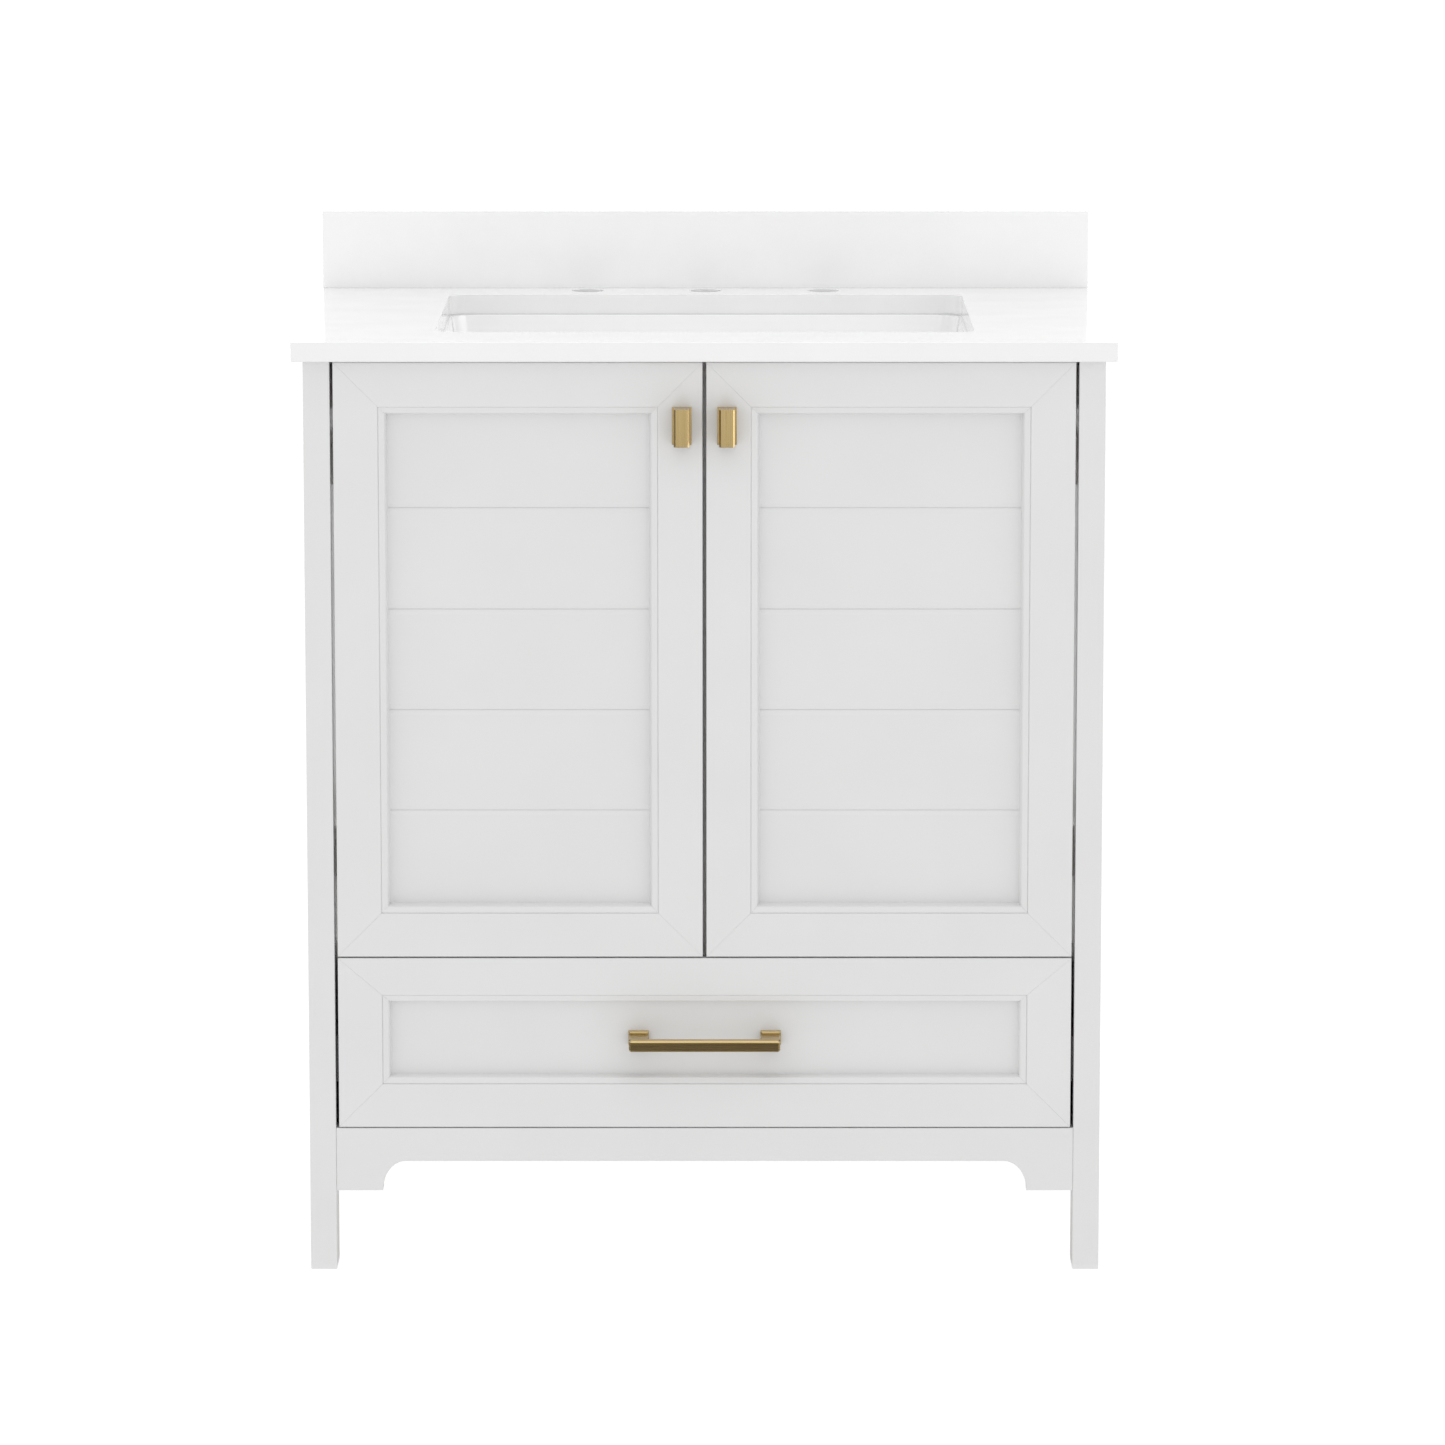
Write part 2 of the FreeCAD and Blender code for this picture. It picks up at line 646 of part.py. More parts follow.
def make_drawer_front():
    x0, x1 = -front_edge_x, front_edge_x
    flats = dict(frame_flats(frame_flat, frame_flat), top=drawer_top_flat)
    names = {"left": "stile_left", "right": "stile_right", "top": "rail_top", "bottom": "rail_bottom"}
    for side, name in names.items():
        parts[f"drawer_front_{name}"] = frame_member(side, x0, x1, drawer_bottom_z, drawer_top_z, flats)
    reach = moulding_width - tongue_clearance
    open_x = front_edge_x - frame_flat - moulding_width
    open_z0 = drawer_bottom_z + frame_flat + moulding_width
    open_z1 = drawer_top_z - drawer_top_flat - moulding_width
    tongue_y = front_y + moulding_depth + panel_fit
    panel = block(-open_x - reach, open_x + reach, tongue_y, front_back_y, open_z0 - reach,
                  open_z1 + reach)
    field = block(-open_x + panel_fit, open_x - panel_fit, front_y + drawer_panel_recess, tongue_y,
                  open_z0 + panel_fit, open_z1 - panel_fit)
    parts["drawer_front_panel"] = panel.fuse(field).removeSplitter()


# ---------------------------------------------------------------- handles
def make_knobs():
    """A plate on the door with a narrower block standing out of it."""
    x = -meeting_x - knob_from_meeting_edge
    z = door_top_z - knob_from_door_top
    plate = block(x - knob_width / 2, x + knob_width / 2, front_y - knob_plate, front_y,
                  z - knob_height / 2, z + knob_height / 2)
    plate = plate.makeChamfer(knob_plate_edge_chamfer, front_edges(plate, front_y))
    face = block(x - knob_face_width / 2, x + knob_face_width / 2, front_y - knob_projection,
                 front_y - knob_plate / 2, z - knob_height / 2, z + knob_height / 2)
    face = face.makeChamfer(knob_edge_chamfer, front_edges(face, front_y - knob_plate))
    add_pair("knob_left", "knob_right", plate.fuse(face).removeSplitter())
    screw = knob_screw(V(x, front_back_y, z), front_thickness + knob_screw_depth)
    parts["door_left_screws"] = [screw]
    for name in ("door_{}_stile_meeting", "knob_{}"):
        cutter = rod(machine_screw_radius + screw_play, V(x, front_back_y, z), V(0, -1, 0),
                     front_thickness + knob_screw_depth)
        bore([name.format("left")], cutter)
        bore([name.format("right")], mirrored(cutter))


def knob_screw(head_at, length):
    """A machine screw driven towards -Y, its head standing behind head_at."""
    shank = rod(machine_screw_radius, head_at, V(0, -1, 0), length - screw_end_gap)
    head = rod(screw_head_radius, head_at, V(0, 1, 0), screw_head_height)
    return shank.fuse(head).removeSplitter()


def pull_center_z():
    """Middle of the drawer front's flat panel."""
    return (drawer_bottom_z + frame_flat + drawer_top_z - drawer_top_flat) / 2


def make_pull():
    """A bar on two arms, each standing on its own plate."""
    base_y = front_y + drawer_panel_recess
    front = base_y - pull_projection
    z_mid = pull_center_z()
    low = z_mid - pull_plate_height / 2
    bar = block(-pull_length / 2, pull_length / 2, front, front + pull_bar_depth, low,
                low + pull_bar_height)
    bar = bar.makeChamfer(pull_edge_chamfer, bar.Edges)
    arm_half = pull_arm_width / 2
    solids = []
    for side in (-1, 1):
        x = side * pull_spacing / 2
        plate = block(x - pull_plate_width / 2, x + pull_plate_width / 2, base_y - pull_plate, base_y,
                      low, low + pull_plate_height)
        solids.append(plate.makeChamfer(pull_edge_chamfer, front_edges(plate, base_y)))
        arm = block(x - arm_half, x + arm_half, front + pull_bar_depth / 2, base_y - pull_plate / 2,
                    low, low + pull_bar_height)
        solids.append(eased(arm, pull_arm_edge_round, [V(0, 1, 0)]))
    pull = bar.fuse(solids).removeSplitter()
    hole_depth = pull_plate + pull_screw_depth
    box_front_back = front_back_y + drawer_side_thickness
    screws = []
    for side in (-1, 1):
        at = V(side * pull_spacing / 2, box_front_back, z_mid)
        length = box_front_back - base_y + hole_depth
        screws.append(knob_screw(at, length))
        cutter = rod(machine_screw_radius + screw_play, at, V(0, -1, 0), length)
        pull = pull.cut(cutter)
        bore(["drawer_front_panel", "drawer_box_front"], cutter)
    parts["drawer_pull"] = pull
    parts["drawer_screws"] = screws


# ---------------------------------------------------------------- hinges
def strap(points, thickness, z0, z1):
    """A bent strip on edge: straight runs of one thickness with round bends, from z0 to z1."""
    solids = []
    for a, b in zip(points, points[1:]):
        run = V(b[0] - a[0], b[1] - a[1], 0)
        side = V(-run.y, run.x, 0).normalize() * (thickness / 2)
        start, end = V(a[0], a[1], z0), V(b[0], b[1], z0)
        solids.append(prism([start + side, end + side, end - side, start - side], V(0, 0, z1 - z0)))
    for x, y in points[1:-1]:
        solids.append(rod(thickness / 2, V(x, y, z0), V(0, 0, 1), z1 - z0))
    return solids[0].fuse(solids[1:])


def hinge_parts(z):
    """Arm, plate, cup and pin of the left door's hinge at height z."""
    px, py = -pin_x, pin_y
    side_x = -inner_x
    half = arm_height / 2
    a = math.radians(arm_leave_angle)
    bend = (px + arm_reach * math.cos(a), py + arm_reach * math.sin(a))
    seat_x = side_x + plate_thickness + arm_seat_thickness / 2
    path = [(px, py), bend, (bend[0] - arm_bend_back, py + arm_back - arm_bend_back),
            (seat_x, py + arm_back + arm_seat_start)]
    seat_y1 = py + plate_start + plate_length
    arm = strap(path, arm_thickness, z - half, z + half)
    seat = block(side_x + plate_thickness, side_x + plate_thickness + arm_seat_thickness,
                 py + arm_back, seat_y1, z - half, z + half)
    knuckle = rod(knuckle_radius, V(px, py, z - half), V(0, 0, 1), arm_height)
    arm = arm.fuse([seat, knuckle])
    arm = arm.cut(rod(pin_radius + pin_play, V(px, py, z - half), V(0, 0, 1), arm_height))
    plate = block(side_x, side_x + plate_thickness, py + plate_start, seat_y1, z - plate_height / 2,
                  z + plate_height / 2)
    plate = eased(plate, plate_corner, [V(1, 0, 0)])
    cup = rod(cup_radius, V(px, front_back_y - cup_depth, z), V(0, 1, 0), cup_depth)
    flange_x0 = px - cup_radius - cup_flange_lap
    flange = block(flange_x0, flange_x0 + cup_flange_width, front_back_y,
                   front_back_y + cup_flange_thickness, z - cup_flange_height / 2,
                   z + cup_flange_height / 2)
    flange = eased(flange, cup_flange_corner, [V(0, 1, 0)])
    hollow = rod(cup_radius - cup_wall, V(px, front_back_y - cup_depth + cup_wall, z), V(0, 1, 0),
                 cup_depth + cup_flange_thickness)
    cup = cup.fuse(flange).cut(hollow)
    pin_half = cup_radius - cup_wall / 2
    pin = rod(pin_radius, V(px, py, z - pin_half), V(0, 0, 1), 2 * pin_half)
    cup = cup.cut(pin)
    return arm.removeSplitter(), plate, cup.removeSplitter(), pin


def wood_screw(head_at, direction, length):
    """A screw with a low head that stands on the surface at head_at."""
    shank = rod(screw_radius, head_at, direction, length)
    head = rod(screw_head_radius, head_at, direction * -1, screw_head_height)
    return shank.fuse(head).removeSplitter()


def make_hinges():
    arms, plates, cups, pins = [], [], [], []
    for z in hinge_heights:
        arm, plate, cup, pin = hinge_parts(z)
        recess = rod(cup_radius, V(-pin_x, front_back_y - cup_depth, z), V(0, 1, 0), cup_depth)
        bore(["door_left_stile_hinge"], recess)
        bore(["door_right_stile_hinge"], mirrored(recess))
        for k in (-1, 1):
            at = V(-pin_x, front_back_y + cup_flange_thickness, z + k * cup_screw_spacing / 2)
            hole = rod(screw_radius + screw_play, at, V(0, -1, 0), hinge_screw_length)
            parts["door_left_screws"].append(wood_screw(at, V(0, -1, 0), hinge_screw_length))
            cup = cup.cut(hole)
            bore(["door_left_stile_hinge"], hole)
            bore(["door_right_stile_hinge"], mirrored(hole))
            seat = V(-inner_x + plate_thickness,
                     pin_y + plate_start + plate_length - plate_screw_from_end,
                     z + k * plate_screw_spacing / 2)
            length = plate_thickness + hinge_screw_length
            hole = rod(screw_radius + screw_play, seat, V(-1, 0, 0), length)
            parts["carcass_screws"].append(wood_screw(seat, V(-1, 0, 0), length))
            plate = plate.cut(hole)
            bore(["side_panel_left"], hole)
            bore(["side_panel_right"], mirrored(hole))
        arms.append(arm)
        plates.append(plate)
        cups.append(cup)
        pins.append(pin)
    parts["hinge_arms"] = group(arms + [mirrored(s) for s in arms])
    parts["hinge_plates"] = group(plates + [mirrored(s) for s in plates])
    for name, solids in (("hinge_cups", cups), ("hinge_pins", pins)):
        parts[f"{name}_left"] = group(solids)
        parts[f"{name}_right"] = group([mirrored(s) for s in solids])


def make_bumpers():
    """Soft pads on the doors' free corners, just clear of the rail and the compartment floor."""
    thickness = stop_clearance - bumper_gap
    x = -meeting_x - 3 * bumper_radius
    heights = (door_top_z - 2 * bumper_radius, door_bottom_z + floor_lap / 2)
    small = floor_lap / 2
    pads = [rod(r, V(x, front_back_y, z), V(0, 1, 0), thickness)
            for r, z in zip((bumper_radius, small), heights)]
    parts["door_bumpers_left"] = group(pads)
    parts["door_bumpers_right"] = group([mirrored(p) for p in pads])


# ---------------------------------------------------------------- drawer
def channel(web_x0, web_x1, tip_x, height, y0, length):
    """A U-shaped slide member lying along Y: a web and two flanges that end at tip_x."""
    z0, z1 = slide_center_z - height / 2, slide_center_z + height / 2
    web = block(web_x0, web_x1, y0, y0 + length, z0, z1)
    low_x, high_x = min(web_x0, tip_x), max(web_x1, tip_x)
    flanges = [block(low_x, high_x, y0, y0 + length, z0, z0 + slide_sheet),
               block(low_x, high_x, y0, y0 + length, z1 - slide_sheet, z1)]
    return web.fuse(flanges).removeSplitter()


def make_slides():
    y0 = stop_y
    wall, box_x = -inner_x, -inner_x + slide_width
    outer = channel(wall, wall + slide_sheet, box_x - slide_play, slide_height, y0, slide_length)
    mid_web = wall + slide_sheet + slide_play
    middle_height = slide_height - 2 * (slide_sheet + 2 * slide_play)
    middle = channel(mid_web, mid_web + slide_sheet, box_x - slide_sheet - slide_play / 2,
                     middle_height, y0, slide_length)
    inner_height = middle_height - 2 * (slide_sheet + 2 * slide_play)
    inner = channel(box_x - slide_sheet, box_x, mid_web + slide_sheet + slide_play, inner_height, y0,
                    slide_length)
    parts["cabinet_slide_members"] = [outer, mirrored(outer)]
    parts["drawer_slide_members"] = [inner, mirrored(inner)]
    add_pair("slide_middle_left", "slide_middle_right", middle)


def make_drawer_box():
    x_out = inner_x - slide_width
    x_in = x_out - drawer_side_thickness
    y0, y1 = front_back_y, front_back_y + drawer_box_depth
    z0, z1 = drawer_side_bottom, drawer_side_bottom + drawer_side_height
    add_pair("drawer_side_left", "drawer_side_right", block(-x_out, -x_in, y0, y1, z0, z1))
    parts["drawer_box_front"] = block(-x_in, x_in, y0, y0 + drawer_side_thickness, z0, z1)
    parts["drawer_box_back"] = block(-x_in, x_in, y1 - drawer_side_thickness, y1, z0, z1)
    floor_z = z0 + drawer_bottom_rise
    edge = drawer_groove - drawer_groove_play
    parts["drawer_bottom"] = block(-x_in - edge, x_in + edge, y0 + drawer_side_thickness - edge,
                                   y1 - drawer_side_thickness + edge, floor_z,
                                   floor_z + drawer_bottom_thickness)
    groove = block(-x_in - drawer_groove, x_in + drawer_groove, y0 + drawer_side_thickness - drawer_groove,
                   y1 - drawer_side_thickness + drawer_groove, floor_z - panel_fit,
                   floor_z + drawer_bottom_thickness + panel_fit)
    bore(["drawer_side_left", "drawer_side_right", "drawer_box_front", "drawer_box_back"], groove)


def make_drawer_screws():
    """Screws that hold the decorated front to the box, and the slide members to box and sides."""
    length = drawer_side_thickness + front_screw_depth
    corner_x = inner_x - slide_width - drawer_side_thickness - front_screw_from_side
    z_low = drawer_side_bottom + front_screw_from_bottom
    z_high = drawer_side_bottom + drawer_side_height - front_screw_from_top
    for side in (-1, 1):
        for z in (z_low, z_high):
            at = V(side * corner_x, front_back_y + drawer_side_thickness, z)
            parts["drawer_screws"].append(wood_screw(at, V(0, -1, 0), length))
            hole = rod(screw_radius + screw_play, at, V(0, -1, 0), length)
            bore(["drawer_box_front", "drawer_front_stile_left", "drawer_front_stile_right",
                  "drawer_front_rail_top", "drawer_front_rail_bottom"], hole)


def make_slide_screws():
    length = slide_sheet + slide_screw_depth
    for share in slide_screw_shares:
        y = stop_y + share * slide_length
        at = V(-inner_x + slide_sheet, y, slide_center_z)
        shank = rod(screw_radius, at, V(-1, 0, 0), length)
        screw = shank.fuse(rod(screw_head_radius, at, V(1, 0, 0), slide_screw_head)).removeSplitter()
        parts["carcass_screws"].append(screw)
        hole = rod(screw_radius + screw_play, at, V(-1, 0, 0), length)
        parts["cabinet_slide_members"][0] = parts["cabinet_slide_members"][0].cut(hole)
        parts["cabinet_slide_members"][1] = parts["cabinet_slide_members"][1].cut(mirrored(hole))
        bore(["side_panel_left"], hole)
        bore(["side_panel_right"], mirrored(hole))


# ---------------------------------------------------------------- dowels
def dowel_joint(names, at, direction, length=dowel_length):
    """A dowel centred on the joint at a point, and its holes in the pieces it ties together."""
    start = at - direction * (length / 2)
    dowel = rod(dowel_radius, start + direction * dowel_end_gap, direction, length - 2 * dowel_end_gap)
    hole = rod(dowel_radius + dowel_play, start, direction, length)
    bore(names, hole)
    return dowel


def make_dowels():
    dowels = []
    rails = [("apron", "front", front_y + apron_setback + apron_thickness / 2,
              (apron_bottom + apron_dowel_margin, apron_top - apron_dowel_margin)),
             ("top_rail_front", "front", swing_y + rail_thickness / 2,
              [body_height - drop for drop in front_rail_dowels]),
             ("top_rail_back", "rear", rear_y - rail_thickness / 2,
              [body_height - drop for drop in rear_rail_dowels]),
             ("back_rail_lower", "rear", rear_y - rail_thickness / 2,
              (floor_top_z + lower_rail_dowel_margin,
               floor_top_z + back_rail_height - lower_rail_dowel_margin))]
    for side, sign in (("left", -1), ("right", 1)):
        for rail, row, y, heights in rails:
            for z in heights:
                met = [rail, f"leg_{row}_{side}", f"side_panel_{side}"]
                dowels.append(dowel_joint(met, V(sign * inner_x, y, z), V(1, 0, 0)))
        panel_x = sign * (half_width - side_recess + inner_x) / 2
        for row, y in (("front", front_y + leg_depth), ("rear", rear_y - leg_depth)):
            for share in side_dowel_shares:
                z = side_bottom + share * (body_height - side_bottom)
                dowels.append(dowel_joint([f"side_panel_{side}", f"leg_{row}_{side}"],
                                          V(panel_x, y, z), V(0, 1, 0)))
    return dowels


def make_panel_dowels():
    """Short dowels that carry the two horizontal panels on the sides, and hold the center stile."""
    dowels = []
    for panel, z in (("bottom_panel", bottom_panel_top - panel_thickness / 2),
                     ("compartment_floor", floor_top_z - panel_thickness / 2)):
        for share in panel_dowel_shares:
            y = front_y + leg_depth + share * (body_depth - 2 * leg_depth)
            for side, sign in (("left", -1), ("right", 1)):
                dowels.append(dowel_joint([panel, f"side_panel_{side}"], V(sign * inner_x, y, z),
                                          V(1, 0, 0), short_dowel_length))
    for met, z in (("compartment_floor", floor_top_z),
                   ("top_rail_front", body_height - top_rail_front_height)):
        dowels.append(dowel_joint(["center_stile", met], V(0, (stop_y + swing_y) / 2, z), V(0, 0, 1),
                                  short_dowel_length))
    return dowels


# ---------------------------------------------------------------- build
def build():
    parts["carcass_screws"] = []
    make_legs()
    make_side_panels()
    make_apron()
    make_panels()
    make_rails()
    make_corner_blocks()
    make_countertop()
    make_backsplash()
    make_basin()
    make_sealant()
    make_sink_clips()
    make_door_frames()
    make_door_planks()
    make_drawer_front()
    make_drawer_box()
    make_slides()
    make_knobs()
    make_pull()
    make_hinges()
    make_bumpers()
    make_drawer_screws()
    make_slide_screws()
    parts["dowels"] = make_dowels() + make_panel_dowels()
    parts["door_right_screws"] = [mirrored(s) for s in parts["door_left_screws"]]
    parts["carcass_screws"] += [mirrored(s) for s in parts["carcass_screws"]]


def save():
    os.makedirs("parts", exist_ok=True)
    for name, made in sorted(parts.items()):
        shape = group(made) if isinstance(made, list) else made
        shape.exportStep(f"parts/{name}.step")


build()
save()
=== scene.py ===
import bmesh
import bpy
import json
import math
from mathutils import Matrix, Vector


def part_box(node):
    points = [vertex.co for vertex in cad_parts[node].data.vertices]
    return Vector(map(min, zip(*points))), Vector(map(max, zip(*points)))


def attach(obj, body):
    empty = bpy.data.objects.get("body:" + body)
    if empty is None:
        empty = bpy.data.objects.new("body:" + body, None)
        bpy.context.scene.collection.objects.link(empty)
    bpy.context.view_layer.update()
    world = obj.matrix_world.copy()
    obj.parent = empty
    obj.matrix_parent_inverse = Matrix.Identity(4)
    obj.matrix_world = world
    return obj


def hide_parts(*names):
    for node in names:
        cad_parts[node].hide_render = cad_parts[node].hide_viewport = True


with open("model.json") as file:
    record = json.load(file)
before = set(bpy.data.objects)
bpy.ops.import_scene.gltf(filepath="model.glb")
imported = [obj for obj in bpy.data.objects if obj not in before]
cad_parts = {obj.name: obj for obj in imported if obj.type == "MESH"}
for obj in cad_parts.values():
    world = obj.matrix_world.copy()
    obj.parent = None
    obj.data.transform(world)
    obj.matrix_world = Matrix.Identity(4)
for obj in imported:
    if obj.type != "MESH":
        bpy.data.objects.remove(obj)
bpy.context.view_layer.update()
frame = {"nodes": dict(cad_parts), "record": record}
nodes = frame["nodes"]
collection = bpy.context.scene.collection
mm = 0.001

print("frame loaded:", len(nodes), "nodes")

# materials

def hexColour(text):
    # sRGB hex to the linear colour that Blender works in
    channels = [int(text[i:i + 2], 16) / 255 for i in (1, 3, 5)]
    linear = [c / 12.92 if c <= 0.04045 else ((c + 0.055) / 1.055) ** 2.4 for c in channels]
    return (*linear, 1.0)


def addNode(tree, kind, settings=None, inputs=None):
    # settings are the node's own fields; an input is a value or another node's output
    node = tree.nodes.new(kind)
    for field, value in (settings or {}).items():
        setattr(node, field, value)
    for name, value in (inputs or {}).items():
        if isinstance(value, bpy.types.NodeSocket):
            tree.links.new(value, node.inputs[name])
        else:
            node.inputs[name].default_value = value
    return node


def startMaterial(name, **shaderValues):
    made = bpy.data.materials.new(name)
    made.use_nodes = True
    tree = made.node_tree
    shader = tree.nodes["Principled BSDF"]
    for socket, value in shaderValues.items():
        shader.inputs[socket.replace("_", " ")].default_value = value
    place = addNode(tree, "ShaderNodeTexCoord").outputs["Object"]
    return made, tree, shader, place


def stretched(tree, place, scale, turn=(0, 0, 0)):
    return addNode(tree, "ShaderNodeMapping", inputs={
        "Vector": place, "Scale": scale, "Rotation": turn}).outputs["Vector"]


def noise(tree, place, sizeMm, detail=2.0, roughness=0.5):
    # one swell of the noise is about sizeMm across
    return addNode(tree, "ShaderNodeTexNoise", inputs={
        "Vector": place, "Scale": 1000 / sizeMm, "Detail": detail,
        "Roughness": roughness}).outputs["Fac"]


def between(tree, fac, low, high, fromLow=0.3, fromHigh=0.7):
    # remaps a noise value to a range
    return addNode(tree, "ShaderNodeMapRange", inputs={
        "Value": fac, "From Min": fromLow, "From Max": fromHigh, "To Min": low,
        "To Max": high}).outputs["Result"]


def tinted(tree, fac, dark, light, fromLow=0.3, fromHigh=0.7):
    fac = between(tree, fac, 0.0, 1.0, fromLow, fromHigh)
    mix = addNode(tree, "ShaderNodeMix", {"data_type": "RGBA"})
    tree.links.new(fac, mix.inputs[0])
    mix.inputs[6].default_value = hexColour(dark)
    mix.inputs[7].default_value = hexColour(light)
    return mix.outputs[2]


def bumped(tree, shader, height, distanceMm, strength=1.0, below=None):
    inputs = {"Height": height, "Distance": distanceMm * mm, "Strength": strength}
    if below is not None:
        inputs["Normal"] = below
    bump = addNode(tree, "ShaderNodeBump", inputs=inputs)
    tree.links.new(bump.outputs["Normal"], shader.inputs["Normal"])
    return bump.outputs["Normal"]


paint = {"colour": "#e4e4e4", "shade": "#e2e2e2", "roughness": 0.42, "ripple": 2.6, "rippleDepth": 0.02}

def paintMaterial(name, grainTurn=(0, 0, 0)):
    # Sprayed satin lacquer on wood: even white, a faint orange-peel ripple that softens highlights,
    # and the ghost of the grain underneath, which only shows at a low angle.
    made, tree, shader, place = startMaterial(name, IOR=1.5)
    cloud = noise(tree, place, 90, 3)
    tree.links.new(tinted(tree, cloud, paint["shade"], paint["colour"]), shader.inputs["Base Color"])
    tree.links.new(between(tree, noise(tree, place, 14, 2), paint["roughness"] - 0.03,
                           paint["roughness"] + 0.04), shader.inputs["Roughness"])
    grainPlace = stretched(tree, place, (1.0, 1.0, 0.06), grainTurn)
    grain = noise(tree, grainPlace, 3.0, 3, 0.6)
    first = bumped(tree, shader, grain, 0.02, 0.35)
    peel = noise(tree, place, paint["ripple"], 1)
    bumped(tree, shader, peel, paint["rippleDepth"], 0.4, first)
    return made


def stoneMaterial(name, dark, light):
    # Polished engineered quartz: crushed white stone in resin, a fine cloudy mottle with a few
    # translucent grains, ground flat and shiny.
    made, tree, shader, place = startMaterial(name, IOR=1.54, Coat_Weight=0.25, Coat_Roughness=0.04)
    base = tinted(tree, noise(tree, place, 60, 5, 0.6), dark, light, 0.35, 0.65)
    grains = addNode(tree, "ShaderNodeTexVoronoi", inputs={"Vector": place, "Scale": 1000 / 1.6})
    speck = between(tree, grains.outputs["Distance"], 1.0, 0.0, 0.05, 0.16)
    pick = addNode(tree, "ShaderNodeSeparateColor", inputs={"Color": grains.outputs["Color"]})
    rare = between(tree, pick.outputs["Red"], 0.0, 1.0, 0.92, 0.95)
    amount = addNode(tree, "ShaderNodeMath", {"operation": "MULTIPLY"}, {0: speck, 1: rare})
    mix = addNode(tree, "ShaderNodeMix", {"data_type": "RGBA"})
    tree.links.new(amount.outputs[0], mix.inputs[0])
    tree.links.new(base, mix.inputs[6])
    mix.inputs[7].default_value = hexColour("#dededd")
    tree.links.new(mix.outputs[2], shader.inputs["Base Color"])
    tree.links.new(between(tree, noise(tree, place, 60, 2), 0.10, 0.115), shader.inputs["Roughness"])
    return made


def glazeMaterial():
    # Vitreous china: white slip under a thick clear glaze, glassy, with a slow waviness from firing.
    made, tree, shader, place = startMaterial("vitreousGlaze", IOR=1.52, Coat_Weight=0.6,
                                              Coat_Roughness=0.03)
    tree.links.new(tinted(tree, noise(tree, place, 120, 2), "#f7f7f7", "#f9f9f9"),
                   shader.inputs["Base Color"])
    tree.links.new(between(tree, noise(tree, place, 30, 2), 0.08, 0.14), shader.inputs["Roughness"])
    bumped(tree, shader, noise(tree, place, 35, 1), 0.12, 0.25)
    return made


brass = {"dark": "#b39b69", "light": "#d3bb88", "lineMm": 0.8, "stretch": 0.006, "roughness": 0.27}

def brassMaterial(name, along):
    # Brushed champagne brass: solid metal drawn along one direction, so the scratches are long thin
    # lines and the highlight spreads across them. The lines are drawn a little coarser than real.
    made, tree, shader, place = startMaterial(name, Metallic=1.0)
    scale = [1.0, 1.0, 1.0]
    scale["xyz".index(along)] = brass["stretch"]
    lines = noise(tree, stretched(tree, place, scale), brass["lineMm"], 3, 0.65)
    tree.links.new(tinted(tree, lines, brass["dark"], brass["light"], 0.25, 0.75),
                   shader.inputs["Base Color"])
    tree.links.new(between(tree, lines, brass["roughness"] - 0.03, brass["roughness"] + 0.05),
                   shader.inputs["Roughness"])
    bumped(tree, shader, lines, 0.01, 0.3)
    return made


def platedMaterial(name, dark, light, roughness, swirlMm):
    # Plated steel pressings: bright thin plating over rolled sheet, a little uneven and softly blurred.
    made, tree, shader, place = startMaterial(name, Metallic=1.0)
    patch = noise(tree, place, swirlMm, 2, 0.5)
    tree.links.new(tinted(tree, patch, dark, light), shader.inputs["Base Color"])
    tree.links.new(between(tree, patch, roughness - 0.02, roughness + 0.03), shader.inputs["Roughness"])
    bumped(tree, shader, noise(tree, place, 0.8, 2), 0.01, 0.4)
    return made


def laminateMaterial():
    # White melamine board inside the cabinet: a printed paper skin with a light pressed grain.
    made, tree, shader, place = startMaterial("melamineBoard", IOR=1.48)
    grain = noise(tree, stretched(tree, place, (0.05, 1.0, 1.0)), 4.0, 4, 0.6)
    tree.links.new(tinted(tree, grain, "#e6e5e1", "#efeeeb"), shader.inputs["Base Color"])
    tree.links.new(between(tree, grain, 0.40, 0.55), shader.inputs["Roughness"])
    bumped(tree, shader, grain, 0.05, 0.4)
    return made


def beechMaterial():
    # Plain beech: pale straw, fine even grain with short dark flecks.
    made, tree, shader, place = startMaterial("plainBeech", IOR=1.5)
    grain = noise(tree, stretched(tree, place, (0.08, 1.0, 1.0)), 3.0, 5, 0.65)
    flecks = noise(tree, stretched(tree, place, (0.2, 1.0, 1.0)), 0.9, 2)
    colour = tinted(tree, grain, "#c6a578", "#dcc096")
    mix = addNode(tree, "ShaderNodeMix", {"data_type": "RGBA"})
    tree.links.new(between(tree, flecks, 0.0, 0.35, 0.58, 0.72), mix.inputs[0])
    tree.links.new(colour, mix.inputs[6])
    mix.inputs[7].default_value = hexColour("#a9855a")
    tree.links.new(mix.outputs[2], shader.inputs["Base Color"])
    tree.links.new(between(tree, grain, 0.5, 0.65), shader.inputs["Roughness"])
    bumped(tree, shader, grain, 0.08, 0.4)
    return made


def rubberMaterial(name, dark, light, roughness):
    # Soft moulded silicone: milky, waxy shine, faint moulding haze.
    made, tree, shader, place = startMaterial(name, IOR=1.41)
    haze = noise(tree, place, 8, 3)
    tree.links.new(tinted(tree, haze, dark, light), shader.inputs["Base Color"])
    tree.links.new(between(tree, haze, roughness - 0.05, roughness + 0.05), shader.inputs["Roughness"])
    bumped(tree, shader, noise(tree, place, 1.2, 2), 0.01, 0.4)
    return made


